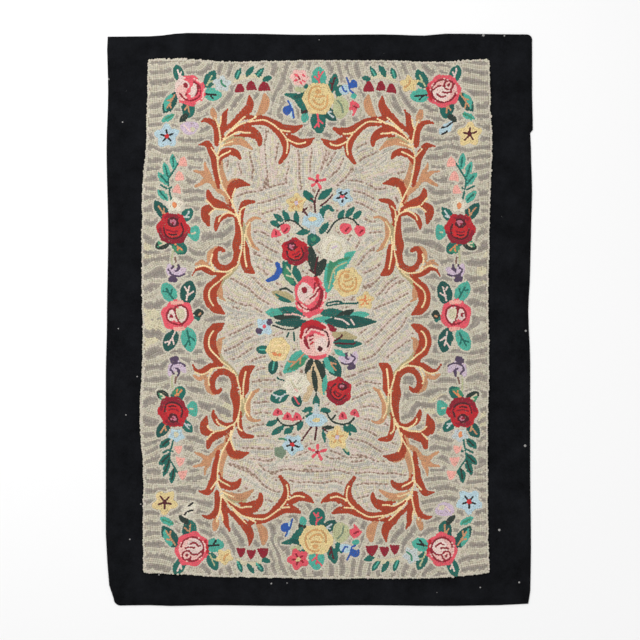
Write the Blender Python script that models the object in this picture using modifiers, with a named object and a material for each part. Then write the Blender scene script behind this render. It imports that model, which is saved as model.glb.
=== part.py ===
"""A hooked rug: one worked panel of wool loops sewn down on a wider black cloth.

Run with: blender --background --python part.py
Metres, +Z up. The origin is the centre of the underside, on the floor. +Y points to the rug's head end.
"""

import math

import bpy

# Driving sizes
CLOTH_WIDTH = 1.128
CLOTH_LENGTH = 1.519
CLOTH_THICKNESS = 0.002
PANEL_WIDTH = 0.916
PANEL_LENGTH = 1.372
PANEL_THICKNESS = 0.0062  # foundation cloth and the loops that stand on it
PANEL_SHIFT = (-0.006, 0.003)  # the panel was sewn down a little off centre
SEAT_GAP = 0.0003  # clear air between the two cloths
PANEL_EDGE_ROUND = 0.0018  # the outermost loops lean out over the edge

KNOT_SPACING = 0.04  # the longest straight run along an edge
ARC_STEPS = 5
MM = 0.001

# How far each edge wanders from straight. Columns: place along the side from -1 to 1, millimetres outward.
# Every side runs counter-clockwise, so the foot runs left to right and the head right to left.
CLOTH_EDGES = {
    "foot": ((-1, 1), (-0.8, 0), (-0.7, 2), (-0.5, 0), (-0.15, 2), (0.2, 0), (0.6, 2), (0.85, 0), (1, -4)),
    "right": (
        (-1, -1),
        (-0.8, 1),
        (-0.5, -1),
        (-0.15, -1),
        (0.03, -6),
        (0.18, -1),
        (0.3, 1),
        (0.45, 4),
        (0.6, 1),
        (0.655, -1),
        (0.667, 6),
        (0.8, 4),
        (1, 4),
    ),
    "head": ((-1, 1), (-0.6, 3), (-0.5, -2), (-0.3, 1), (0.05, 0), (0.35, 3), (0.62, 5), (0.8, -4), (1, -5)),
    "left": (
        (-1, 0),
        (-0.8, -3),
        (-0.6, 1),
        (-0.3, -3),
        (0, 0),
        (0.2, 3),
        (0.75, 3),
        (0.85, -1),
        (0.93, -6),
        (1, -18),
    ),
}
PANEL_EDGES = {
    "foot": ((-1, -11), (-0.8, -8), (-0.55, -1), (-0.2, 2), (0, 5), (0.25, 3), (0.6, 4), (0.8, 0), (1, -11)),
    "right": ((-1, 1), (-0.8, -3), (-0.45, -4), (-0.2, 0), (0.1, -3), (0.35, 1), (0.7, 8), (0.8, 4), (1, 1)),
    "head": ((-1, 4), (-0.7, -4), (-0.4, 0), (0, 1), (0.25, -1), (0.5, -4), (0.75, 4), (1, 4)),
    "left": ((-1, -11), (-0.7, -7), (-0.5, 4), (-0.2, 6), (0.1, 3), (0.4, 11), (0.6, 1), (0.8, 3), (1, 1)),
}
# Radius of each corner, in millimetres, counter-clockwise from the foot's left end
CLOTH_CORNERS = (18, 5, 14, 2)
PANEL_CORNERS = (5, 7, 4, 4)

SIDE_FRAMES = {  # each side's direction of travel and its outward direction
    "foot": ((1, 0), (0, -1)),
    "right": ((0, 1), (1, 0)),
    "head": ((-1, 0), (0, 1)),
    "left": ((0, -1), (-1, 0)),
}


def clear_scene():
    for obj in list(bpy.data.objects):
        bpy.data.objects.remove(obj)


def side_points(side, edge, width, length, first_corner, last_corner):
    """The points of one side, from the end of one rounded corner to the start of the next."""
    (along_x, along_y), (out_x, out_y) = SIDE_FRAMES[side]
    run, reach = (width, length) if along_x else (length, width)
    first, last = first_corner / run * 2, last_corner / run * 2
    points = []
    for (start, start_out), (end, end_out) in zip(edge, edge[1:]):
        steps = max(1, round((end - start) * run / 2 / KNOT_SPACING))
        for step in range(steps):
            share = step / steps
            place = start + (end - start) * share
            ease = (1 - math.cos(math.pi * share)) / 2
            out = (start_out + (end_out - start_out) * ease) * MM
            if -1 + first < place < 1 - last:
                points.append((place, out))
    return [
        (
            along_x * place * run / 2 + out_x * (reach / 2 + out),
            along_y * place * run / 2 + out_y * (reach / 2 + out),
        )
        for place, out in points
    ]


def outline(width, length, edges, corners):
    """A closed outline: four wandering sides joined by round corners."""
    radii = [corner * MM for corner in corners]
    sides = list(edges)
    points = []
    for number, side in enumerate(sides):
        before = sides[number - 1]
        radius = radii[number]
        (along_x, along_y), (out_x, out_y) = SIDE_FRAMES[side]
        run, reach = (width, length) if along_x else (length, width)
        # the corner lies where this side and the one before it end
        along = -run / 2 - edges[before][-1][1] * MM
        out = reach / 2 + edges[side][0][1] * MM
        centre_along, centre_out = along + radius, out - radius
        for step in range(ARC_STEPS + 1):
            turn = math.pi / 2 * step / ARC_STEPS
            at_along = centre_along - radius * math.cos(turn)
            at_out = centre_out + radius * math.sin(turn)
            points.append((along_x * at_along + out_x * at_out, along_y * at_along + out_y * at_out))
        after = radii[(number + 1) % len(sides)]
        points += side_points(side, edges[side], width, length, radius * 2, after * 2)
    return points


def flat_sheet(name, points, bottom, thickness, edge_round, material):
    """A flat outline given its thickness, with a rounded rim."""
    curve = bpy.data.curves.new(name, "CURVE")
    curve.dimensions = "2D"
    curve.fill_mode = "BOTH"
    curve.extrude = thickness / 2
    spline = curve.splines.new("POLY")
    spline.points.add(len(points) - 1)
    for knot, (x, y) in zip(spline.points, points):
        knot.co = (x, y, 0, 1)
    spline.use_cyclic_u = True
    guide = bpy.data.objects.new(name + "_outline", curve)
    mesh = bpy.data.meshes.new_from_object(guide)
    bpy.data.objects.remove(guide)
    bpy.data.curves.remove(curve)

    obj = bpy.data.objects.new(name, mesh)
    obj.location.z = bottom + thickness / 2
    weld = obj.modifiers.new("weld", "WELD")
    weld.merge_threshold = 0.00005
    if edge_round:
        bevel = obj.modifiers.new("rounded_rim", "BEVEL")
        bevel.width = edge_round
        bevel.segments = 2
        bevel.limit_method = "ANGLE"
        bevel.angle_limit = math.radians(60)
    obj.data.materials.append(material)
    return obj


def cloth_material(name, colour, roughness):
    material = bpy.data.materials.new(name)
    material.use_nodes = True
    shader = material.node_tree.nodes["Principled BSDF"]
    shader.inputs["Base Color"].default_value = (*colour, 1)
    shader.inputs["Roughness"].default_value = roughness
    shader.inputs["Metallic"].default_value = 0
    return material


def black_cloth():
    """The wide black ground cloth, with its hem turned under, so that only its thickness shows."""
    return flat_sheet(
        "black_cloth",
        outline(CLOTH_WIDTH, CLOTH_LENGTH, CLOTH_EDGES, CLOTH_CORNERS),
        0,
        CLOTH_THICKNESS,
        0,
        cloth_material("black_wool", (0.008, 0.009, 0.011), 0.9),
    )


def hooked_panel():
    """The worked panel: a foundation cloth filled edge to edge with rows of loops."""
    shift_x, shift_y = PANEL_SHIFT
    points = [
        (x + shift_x, y + shift_y)
        for x, y in outline(PANEL_WIDTH, PANEL_LENGTH, PANEL_EDGES, PANEL_CORNERS)
    ]
    return flat_sheet(
        "hooked_panel",
        points,
        CLOTH_THICKNESS + SEAT_GAP,
        PANEL_THICKNESS,
        PANEL_EDGE_ROUND,
        cloth_material("hooked_wool", (0.45, 0.4, 0.31), 0.95),
    )


def main():
    clear_scene()
    rug = bpy.data.collections.new("hooked_rug")
    bpy.context.scene.collection.children.link(rug)
    for piece in (black_cloth(), hooked_panel()):
        rug.objects.link(piece)


main()
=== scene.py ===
"""The looks of a hooked wool rug: a field of wool loops on a foundation cloth, laid on a wider black cloth.

The pattern is inked on a chart of small cells, and rows of loops are then worked over it, as a hooker works:
the drawn lines first, then the fillings, then the ground. The chart is in millimetres, the meshes in metres.
Quarter places (u, v) are measured from the middle of the pattern, u towards a side and v towards an end,
and each quarter of the rug mirrors them.
"""

import collections
import math

import bpy
import numpy as np
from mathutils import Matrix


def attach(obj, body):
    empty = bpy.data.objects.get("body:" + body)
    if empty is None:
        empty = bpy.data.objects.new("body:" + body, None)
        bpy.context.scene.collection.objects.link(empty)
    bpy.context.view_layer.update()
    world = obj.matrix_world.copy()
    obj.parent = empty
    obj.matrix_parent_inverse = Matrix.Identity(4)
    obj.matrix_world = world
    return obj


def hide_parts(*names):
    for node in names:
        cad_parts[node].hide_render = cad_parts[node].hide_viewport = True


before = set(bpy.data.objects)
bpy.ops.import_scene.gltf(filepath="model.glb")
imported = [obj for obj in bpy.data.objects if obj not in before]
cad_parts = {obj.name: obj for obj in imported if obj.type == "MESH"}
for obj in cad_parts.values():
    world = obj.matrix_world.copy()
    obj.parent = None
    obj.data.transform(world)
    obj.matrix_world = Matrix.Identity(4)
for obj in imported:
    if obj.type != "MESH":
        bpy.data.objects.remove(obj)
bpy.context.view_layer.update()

MM = 0.001
ROW = 4.85  # one row of loops, from side to side
LOOP = 6.0  # one loop, along its row
CELL = 1.0  # one cell of the chart
MIDDLE = (-4.7, 1.3)  # the middle of the pattern, on the rug
RNG = np.random.default_rng(1936)

# Dyed yarns, as sRGB numbers from 0 to 255
YARNS = {
    "outline": (206, 198, 180),
    "cream": (203, 196, 176),
    "oatmeal": (194, 186, 166),
    "grey": (163, 154, 142),
    "slate_grey": (149, 141, 131),
    "pale": (214, 205, 188),
    "rosy_pale": (214, 196, 184),
    "butter": (212, 203, 172),
    "mist": (189, 185, 174),
    "silver": (196, 204, 202),
    "brown": (128, 96, 84),
    "tan_dots": (150, 122, 106),
    "tan_row": (190, 170, 152),
    "rust": (170, 62, 32),
    "tan": (202, 148, 108),
    "olive": (180, 166, 124),
    "sand": (212, 188, 150),
    "straw": (242, 216, 166),
    "teal": (24, 104, 92),
    "deep_teal": (18, 84, 76),
    "aqua": (78, 172, 152),
    "sea_green": (62, 140, 104),
    "bottle": (38, 54, 46),
    "sage": (122, 140, 116),
    "pale_green": (186, 188, 146),
    "coral": (228, 88, 102),
    "rose_pink": (236, 190, 180),
    "blush": (232, 208, 198),
    "crimson": (146, 20, 42),
    "dusky_pink": (198, 118, 138),
    "maroon": (84, 22, 32),
    "red": (188, 30, 42),
    "scarlet": (206, 40, 44),
    "salmon": (240, 174, 160),
    "yellow": (227, 204, 148),
    "gold": (212, 162, 104),
    "orange": (226, 142, 92),
    "blue": (42, 88, 168),
    "light_blue": (184, 208, 216),
    "lilac": (206, 186, 202),
    "plum": (84, 66, 92),
    "white": (226, 219, 199),
    "black": (30, 28, 30),
}
YARN_NUMBER = {name: number for number, name in enumerate(YARNS)}

OUTSIDE, BORDER, FIELD, BORDER_HALO, FIELD_HALO, FIRST_MOTIF = -1, 0, 1, 2, 3, 4
KINDS = ("border", "field", "scrolls", "flowers", "leaves")
CHART_HALF = (480, 705)  # half the chart's width and length, a little more than the panel's
STRAY_MARGIN = 8  # more than a drawn line ever strays


# ---------------------------------------------------------------- outlines from the frame


def rim_of(node):
    """(middle, angles, reaches) in mm: how far the node's widest ring of points stands from its middle.

    The node's walls are upright, so the ring is the level of points whose mean reach is the largest.
    """
    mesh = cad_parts[node].data
    points = np.empty(len(mesh.vertices) * 3)
    mesh.vertices.foreach_get("co", points)
    points = np.unique(np.round(points.reshape(-1, 3) / MM, 2), axis=0)
    middle = (points.min(0) + points.max(0))[:2] / 2
    out = points[:, :2] - middle
    reaches = np.hypot(out[:, 0], out[:, 1])
    levels = np.round(points[:, 2], 1)
    widest = max(np.unique(levels), key=lambda level: reaches[levels == level].mean())
    ring = levels == widest
    angles = np.arctan2(out[:, 1], out[:, 0])[ring]
    order = np.argsort(angles)
    return middle, angles[order], reaches[ring][order]


def reach_at(rim, angle):
    """The rim's reach at any angle: between two of its points it runs straight."""
    _, angles, reaches = rim
    turn = 2 * math.pi
    around = np.concatenate([angles - turn, angles, angles + turn])
    every = np.tile(reaches, 3)
    after = np.searchsorted(around, angle).clip(1, len(around) - 1)
    first, last = around[after - 1], around[after]
    a, b = every[after - 1], every[after]
    return a * b * np.sin(last - first) / (a * np.sin(angle - first) + b * np.sin(last - angle))


# ---------------------------------------------------------------- the chart


def wander(x, y):
    """How far the drawn line strays from true: a few slow waves across the rug, a few mm high."""
    return (
        3.2 * np.sin(x / 67 + y / 131 + 0.7) + 1.8 * np.sin(y / 43 - x / 90 + 2.1),
        3.0 * np.sin(y / 71 - x / 113 + 1.9) + 1.8 * np.sin(x / 39 + y / 84 + 0.4),
    )


def smooth_path(points, step=1.5):
    """A Catmull-Rom curve through the points, as points about a step apart."""
    p = np.asarray(points, float)
    if len(p) == 2:
        count = max(2, int(np.hypot(*(p[1] - p[0])) / step) + 1)
        return p[0] + (p[1] - p[0]) * np.linspace(0, 1, count)[:, None]
    p = np.concatenate([[2 * p[0] - p[1]], p, [2 * p[-1] - p[-2]]])
    made = []
    for a, b, c, d in zip(p, p[1:], p[2:], p[3:]):
        count = max(2, int(np.hypot(*(c - b)) / step) + 1)
        t = np.linspace(0, 1, count, endpoint=False)[:, None]
        made.append(
            (2 * b + (c - a) * t + (2 * a - 5 * b + 4 * c - d) * t**2 + (3 * b - a - 3 * c + d) * t**3) / 2
        )
    return np.concatenate(made + [p[-2:-1]])


class Chart:
    """The pattern, cell by cell: the part that each cell belongs to, its yarn and its kind."""

    def __init__(self, rim):
        middle = rim[0]
        half = np.array(CHART_HALF)
        self.low = middle - half
        across, along = (2 * half / CELL).astype(int)
        xs = self.low[0] + (np.arange(across) + 0.5) * CELL
        ys = self.low[1] + (np.arange(along) + 0.5) * CELL
        self.x, self.y = np.meshgrid(xs, ys)
        dx, dy = self.x - middle[0], self.y - middle[1]
        inside = np.hypot(dx, dy) < reach_at(rim, np.arctan2(dy, dx))
        stray_x, stray_y = wander(self.x, self.y)
        self.u, self.v = self.x - MIDDLE[0] + stray_x, self.y - MIDDLE[1] + stray_y
        self.part = np.where(inside, BORDER, OUTSIDE).astype(np.int32)
        self.yarn = np.zeros(self.part.shape, np.int32)
        self.kind = np.zeros(self.part.shape, np.int32)
        self.rows = []
        self.flip = (1, 1)
        self.now = KINDS.index("flowers")
        self.parts = FIRST_MOTIF - 1

    def window(self, low, high):
        """The slices of the chart that hold a box of quarter places, and the cells' own quarter places."""
        ends = np.array([low, high]) * self.flip + MIDDLE
        first = ((ends.min(0) - STRAY_MARGIN - self.low) / CELL).astype(int).clip(0)
        last = ((ends.max(0) + STRAY_MARGIN - self.low) / CELL).astype(int) + 1
        where = slice(first[1], last[1]), slice(first[0], last[0])
        return where, self.flip[0] * self.u[where], self.flip[1] * self.v[where]

    def ink(self, where, inside, yarn):
        """Gives the cells to a new part, in this yarn, where they lie on the foundation."""
        inside = inside & (self.part[where] != OUTSIDE)
        self.parts += 1
        self.part[where][inside] = self.parts
        self.yarn[where][inside] = YARN_NUMBER[yarn]
        self.kind[where][inside] = self.now

    def stroke(self, points, widths, yarn):
        """A band along a smooth curve: each cell nearer to the curve than half the band's width there."""
        path = smooth_path(points)
        half = np.interp(np.linspace(0, 1, len(path)), np.linspace(0, 1, len(widths)), widths) / 2
        where, u, v = self.window(path.min(0) - half.max(), path.max(0) + half.max())
        inside = np.zeros(u.shape, bool)
        for (pu, pv), reach in zip(path, half):
            inside |= (u - pu) ** 2 + (v - pv) ** 2 <= reach * reach
        self.ink(where, inside, yarn)

    def blob(self, centre, radii, yarn, lobes=0, depth=0.0, turn=0.0):
        """An oval with these two radii, whose reach is 1 + depth x cosine of lobes x angle."""
        (cu, cv), (ru, rv) = centre, radii
        far = 1.15 * (1 + depth)
        where, u, v = self.window((cu - ru * far, cv - rv * far), (cu + ru * far, cv + rv * far))
        a, b = (u - cu) / ru, (v - cv) / rv
        reach = 1 + depth * np.cos(lobes * (np.arctan2(b, a) - turn))
        self.ink(where, np.hypot(a, b) < reach, yarn)

    def fan(self, centre, width, height, yarn, turn=0.0):
        """A dome on a flat foot, |a|^1.5 + |b|^1.5 < 1, turned about the middle of its foot."""
        (cu, cv), far = centre, max(width, height)
        where, u, v = self.window((cu - far, cv - far), (cu + far, cv + far))
        cos, sin = math.cos(turn), math.sin(turn)
        a = ((u - cu) * cos + (v - cv) * sin) * 2 / width
        b = ((v - cv) * cos - (u - cu) * sin) / height
        self.ink(where, (np.abs(a) ** 1.5 + np.abs(b) ** 1.5 < 1) & (b > -0.08), yarn)

    def row(self, points, yarn):
        """One row of loops along a smooth curve, kept as cells and as the places that the row strays to.

        A place is the curve's less the stray at the place itself, which three rounds come near enough to.
        """
        path = smooth_path(points)
        where, u, v = self.window(path.min(0) - ROW, path.max(0) + ROW)
        inside = np.zeros(u.shape, bool)
        for pu, pv in path:
            inside |= (u - pu) ** 2 + (v - pv) ** 2 <= (0.5 * ROW) ** 2
        self.ink(where, inside, yarn)
        home = path * self.flip + MIDDLE
        place = home.copy()
        for _ in range(3):
            place = home - np.stack(wander(place[:, 0], place[:, 1]), 1)
        self.rows.append((self.parts, place))


# ---------------------------------------------------------------- motifs


def about(centre, turn, points):
    """Points given round a motif's own middle, turned and moved to its place."""
    cos, sin = math.cos(turn), math.sin(turn)
    return [(centre[0] + a * cos - b * sin, centre[1] + a * sin + b * cos) for a, b in points]


def motif(chart, centre, size, pieces, turn=0.0, face=1, long=1.0, kind="flowers"):
    """A figure in shares of its size, turned and moved to its place.

    Each piece is a yarn, its sizes and its points. Without sizes it is a row of loops. With a single point
    it is a blob, given by its two radii and then its lobes, their depth and its own turn. The others are
    bands, with their widths. Face -1 mirrors the figure from left to right, and long stretches it.
    """
    chart.now = KINDS.index(kind)
    for yarn, sizes, *points in pieces:
        places = about(centre, turn, [(a * size * face, b * size * long) for a, b in points])
        if not sizes:
            chart.row(places, yarn)
        elif len(places) == 1:
            across, along, lobes, depth, own_turn = (*sizes, 0, 0, 0)[:5]
            chart.blob(places[0], (size * across, size * along * long), yarn, lobes, depth, turn + own_turn)
        else:
            chart.stroke(places, [size * width for width in sizes], yarn)


def round_points(centre, radius, first, last, count):
    """Points on a round arc: the centre plus the radius times (cosine, sine) of evenly spaced angles."""
    angles = np.linspace(first, last, count)
    return [(centre[0] + radius * math.cos(angle), centre[1] + radius * math.sin(angle)) for angle in angles]


LEAF_SHAPE = (0.25, 0.78, 1.0, 0.92, 0.6, 0.12)


def leaf(chart, foot, tip, width, yarn, vein=None, ribs=0, edge=None, bend=0.0):
    """A pointed leaf from foot to tip, with its midrib and side ribs, and an edging down one side."""
    foot, tip = np.asarray(foot, float), np.asarray(tip, float)
    along = tip - foot
    side = np.array([-along[1], along[0]])
    size = np.hypot(*along)
    spine = [foot, foot + along * 0.5 + side * bend, tip]
    chart.now = KINDS.index("leaves")
    chart.stroke(spine, [width * share for share in LEAF_SHAPE], yarn)
    if edge:
        off = side / size * width * 0.26
        chart.stroke([foot + along * 0.2 + off, foot + along * 0.55 + off + side * bend, foot + along * 0.85],
                     [width * 0.3, width * 0.42, width * 0.1], edge)
    if vein:
        chart.row([foot + along * 0.04, foot + along * 0.45 + side * bend, foot + along * 0.74], vein)
        for rib in range(ribs):
            start = foot + along * (0.3 + 0.2 * rib)
            reach = side / size * width * 0.3 * (-1) ** rib
            chart.row([start, start + along / size * width * 0.3 + reach], vein)


def greenery(chart, pieces):
    """Leaves and stems one after another: a piece that starts with a yarn is as in motif, in mm.

    Any other piece is a leaf: its foot, its tip, its width, its yarn and what else the leaf function takes.
    """
    for piece in pieces:
        if isinstance(piece[0], str):
            motif(chart, (0, 0), 1, [piece], kind="leaves")
        else:
            leaf(chart, *piece)


def star(chart, centre, radius, petals, marks, heart, lobes=5, turn=0.3):
    """A small open flower: lobed petals, a mark down each petal and a heart of a few loops."""
    chart.now = KINDS.index("flowers")
    chart.blob(centre, (radius * 1.04, radius * 1.04), petals, lobes, 0.17, turn)
    if marks:
        for petal in range(lobes):
            angle = turn + 2 * math.pi * petal / lobes
            way = np.array([math.cos(angle), math.sin(angle)])
            chart.row([centre + way * radius * 0.24, centre + way * radius * 0.62], marks)
    if heart:
        chart.blob(centre, (radius * 0.24, radius * 0.24), heart)


def sprig(chart, centre, radius):
    """A flower of five narrow coral petals, longer and shorter by turns, with a crimson heart."""
    chart.now = KINDS.index("flowers")
    for arm in range(5):
        angle = 0.2 + 2 * math.pi * arm / 5
        way = np.array([math.cos(angle), math.sin(angle)])
        reach = radius * (1 - 0.24 * (arm % 2))
        chart.stroke([centre + way * 3, centre + way * reach * 0.6, centre + way * reach], [5, 7, 8], "coral")
    chart.blob(centre, (5, 5), "crimson")


# A cabbage rose: coral petals, pale ones to its left, crimson folds and a dark eye
PINK_ROSE = (
    ("coral", (1, 1, 7, 0.04), (0, 0)),
    ("blush", (0.5, 0.74, 4, 0.05), (-0.5, 0.1)),
    ("rose_pink", (0.42, 0.5), (-0.5, -0.2)),
    ("coral", (0.12, 0.24, 0.28, 0.26, 0.2), (-0.4, 0.72), (-0.02, 0.62), (0.06, 0.25), (-0.16, -0.12),
     (-0.08, -0.5)),
    ("blush", (0.2, 0.4, 0.26), (0.36, 0.5), (0.24, 0.1), (0.16, -0.34)),
    ("rose_pink", (0.1, 0.14), (0.2, 0.86), (0.66, 0.6)),
    ("rose_pink", (0.06, 0.14, 0.06), (0.9, 0.24), (0.84, -0.34), (0.44, -0.8)),
    ("crimson", (), (0.18, 0.62), (0.54, 0.42), (0.7, 0.0), (0.58, -0.36), (0.12, -0.64), (-0.36, -0.56),
     (-0.62, -0.28)),
    ("crimson", (), (0.44, 0.4), (0.52, 0.04), (0.38, -0.32)),
    ("crimson", (), (-0.22, -0.2), (-0.28, -0.34)),
    ("crimson", (0.17, 0.16), (-0.32, 0.32)),
)
# The same with coral all round it
FULL_ROSE = (
    ("coral", (1, 1, 7, 0.04), (0, 0)),
    ("blush", (0.48, 0.5, 4, 0.05), (-0.3, 0.18)),
    ("rose_pink", (0.3, 0.3), (-0.7, -0.42), (-0.3, -0.62)),
    ("rose_pink", (0.3, 0.3, 0.16), (-0.2, -0.28), (0.3, 0.0), (0.5, 0.42)),
    ("rose_pink", (0.06, 0.14, 0.06), (0.9, 0.24), (0.84, -0.34), (0.44, -0.8)),
    ("red", (0.3, 0.14), (0.5, 0.84), (0.56, 0.6)),
    ("crimson", (0.1, 0.2, 0.26, 0.1), (0.6, 0.56), (0.74, 0.1), (0.5, -0.42), (0.0, -0.66)),
    ("crimson", (), (0.0, -0.66), (-0.5, -0.52), (-0.84, -0.22)),
    ("crimson", (), (0.56, 0.36), (0.3, 0.06), (-0.02, -0.1)),
    ("crimson", (), (0.34, 0.62), (0.36, 0.4)),
    ("crimson", (0.17, 0.16), (-0.32, 0.32)),
)
# A pink rose from below: red folds over its upper left, pale petals and the eye at its lower right
FOLDED_ROSE = (
    ("rose_pink", (1, 1, 7, 0.04), (0, 0)),
    ("red", (0.16, 0.3, 0.36, 0.2), (-0.9, 0.1), (-0.7, 0.66), (-0.1, 0.86), (0.5, 0.66)),
    ("crimson", (0.1, 0.2, 0.1), (-0.6, 0.4), (-0.2, 0.66), (0.4, 0.5)),
    ("coral", (0.16, 0.22, 0.12), (-0.56, 0.16), (-0.1, 0.42), (0.42, 0.26)),
    ("crimson", (0.16, 0.26, 0.1), (-0.66, 0.1), (-0.6, -0.2), (-0.46, -0.42)),
    ("crimson", (), (-0.42, 0.16), (-0.14, 0.26)),
    ("crimson", (), (-0.4, -0.02), (-0.14, 0.1)),
    ("red", (), (-0.36, -0.22), (-0.16, -0.08)),
    ("coral", (0.14, 0.24, 0.12), (-0.5, -0.84), (0.0, -0.9), (0.56, -0.76)),
    ("blush", (0.42, 0.4, 5, 0.05), (0.3, -0.24)),
    ("maroon", (), (0.36, 0.56), (0.66, 0.36), (0.74, -0.1), (0.66, -0.3)),
    ("blush", (), (0.84, 0.3), (0.94, -0.1), (0.8, -0.5)),
    ("maroon", (0.15, 0.15), (0.2, -0.42)),
)
# A side's pink rose: coral lobes, pale petals above and below, and two crimson rings, one with the eye
RING_ROSE = (
    ("coral", (1, 1, 6, 0.05, 0.3), (0, 0)),
    ("salmon", (0.26, 0.26), (-0.3, 0.84), (0.3, 0.84)),
    ("salmon", (0.26, 0.24), (-0.36, -0.84), (0.2, -0.84)),
    ("blush", (0.42, 0.52), (-0.22, 0.02)),
    ("blush", (0.36, 0.36), (0.36, 0.02)),
    ("butter", (0.3, 0.38), (-0.2, 0.1)),
    ("crimson", (), (0.66, 0.12), (0.44, 0.44), (0.14, 0.36)),
    ("crimson", (), (0.66, 0.12), (0.6, -0.26), (0.2, -0.52), (-0.2, -0.6)),
    ("crimson", (), (0.14, 0.56), (-0.22, 0.62), (-0.56, 0.42), (-0.66, 0.0), (-0.5, -0.4), (-0.16, -0.58)),
    ("crimson", (), (0.14, 0.5), (0.1, 0.06), (-0.02, -0.3), (-0.26, -0.58)),
    ("crimson", (0.12, 0.12), (0.4, 0.0)),
    ("white", (0.1, 0.12), (-0.1, -0.3), (-0.3, -0.44)),
)
# A pink rose in outline: coral petals, a pale inside with a crimson ring and folds, and a ringed eye
LINED_ROSE = (
    ("coral", (1, 1, 7, 0.05), (0, 0)),
    ("red", (0.2, 0.2), (-0.9, 0.3), (-0.8, -0.4)),
    ("rose_pink", (0.8, 0.76), (0, 0)),
    ("blush", (0.52, 0.5), (-0.16, -0.1)),
    ("crimson", (), *round_points((0, 0), 0.7, 1.2, 6.0, 14)),
    ("crimson", (), *round_points((0.34, 0.32), 0.27, 0, 2 * math.pi, 9)),
    ("crimson", (0.1, 0.1), (0.34, 0.32)),
    ("crimson", (), (-0.6, 0.16), (-0.3, 0.34), (0.06, 0.3)),
    ("crimson", (), (-0.44, -0.1), (-0.16, -0.36), (0.1, -0.3)),
    ("crimson", (), (-0.1, -0.06), (0.16, -0.14), (0.42, -0.1)),
)
# A full red rose: crimson lower petals, a scarlet heart in a dark ring, folds, and a maroon and pink eye
RED_ROSE = (
    ("red", (1, 1.02, 6, 0.07), (0, 0)),
    ("crimson", (0.16, 0.34, 0.34, 0.36, 0.2), (-0.86, -0.2), (-0.5, -0.72), (0.1, -0.84), (0.66, -0.6),
     (0.84, -0.1)),
    ("crimson", (0.16, 0.3, 0.16), (-0.34, 0.76), (0.12, 0.84), (0.5, 0.66)),
    ("scarlet", (0.5, 0.54), (-0.02, -0.08)),
    ("maroon", (), (-0.5, 0.34), (-0.62, -0.1), (-0.42, -0.5), (0.06, -0.64), (0.48, -0.44), (0.6, 0.06)),
    ("crimson", (), (-0.3, -0.14), (0.02, -0.2), (0.34, -0.12)),
    ("maroon", (), (-0.22, -0.34), (0.06, -0.4), (0.3, -0.32)),
    ("maroon", (0.36, 0.32), (0.02, 0.42)),
    ("dusky_pink", (0.2, 0.17), (-0.02, 0.44)),
    ("crimson", (0.08, 0.07), (0.04, 0.38)),
)


def yellow_rose(folds="gold"):
    """The pieces of a full yellow rose, with its folds and its eye in one yarn."""
    return (
        ("yellow", (1, 1, 6, 0.05), (0, 0)),
        (folds, (), (-0.46, 0.62), (-0.62, 0.2), (-0.56, -0.3), (-0.2, -0.62), (0.3, -0.62), (0.58, -0.3),
         (0.6, 0.2)),
        (folds, (), (-0.36, 0.0), (-0.16, -0.3), (0.24, -0.34), (0.4, -0.1)),
        (folds, (), (-0.3, 0.16), (0.0, 0.12), (0.34, 0.18)),
        (folds, (), (-0.46, 0.62), (-0.16, 0.78), (0.16, 0.7)),
        (folds, (0.2, 0.16), (-0.04, 0.44)),
    )


def tulip(chart, centre, size, turn):
    """A striped tulip, in shares of its size: a lilac cup with plum stripes and a plum foot."""
    chart.now = KINDS.index("flowers")

    def at(*points):
        """Points of the tulip, turned and moved to their place."""
        return about(centre, turn, [(a * size, b * size) for a, b in points])

    cup_widths = [size * 0.5, size * 0.8, size * 0.9, size * 0.4]
    chart.stroke(at((-0.6, 0.5), (-0.2, 0.05), (0.5, 0.1), (0.85, 0.7)), cup_widths, "lilac")
    chart.stroke(at((0.0, 0.9), (-0.1, 0.5), (0.1, 0.25)), [ROW, size * 0.34, ROW], "plum")
    chart.row(at((-0.8, 0.1), (-0.3, -0.2), (0.4, -0.16), (0.8, 0.3)), "plum")
    chart.row(at((0.4, 0.75), (0.6, 0.4)), "plum")
    chart.stroke(at((0.0, -0.62), (0.35, -0.55)), [size * 0.5, size * 0.62], "plum")


def dome(chart, centre, size, turn):
    """A bud seen from the side: a small coral fan with a crimson mark in its foot."""
    chart.now = KINDS.index("flowers")
    chart.fan(centre, size, size * 0.72, "coral", turn)
    way = np.array([-math.sin(turn), math.cos(turn)])
    chart.row([centre + way * size * 0.14, centre + way * size * 0.36], "crimson")


# ---------------------------------------------------------------- scrollwork, one quarter of it

SCROLL_SPREAD = 1.14  # worked bands spread a little past their drawn widths
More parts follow.
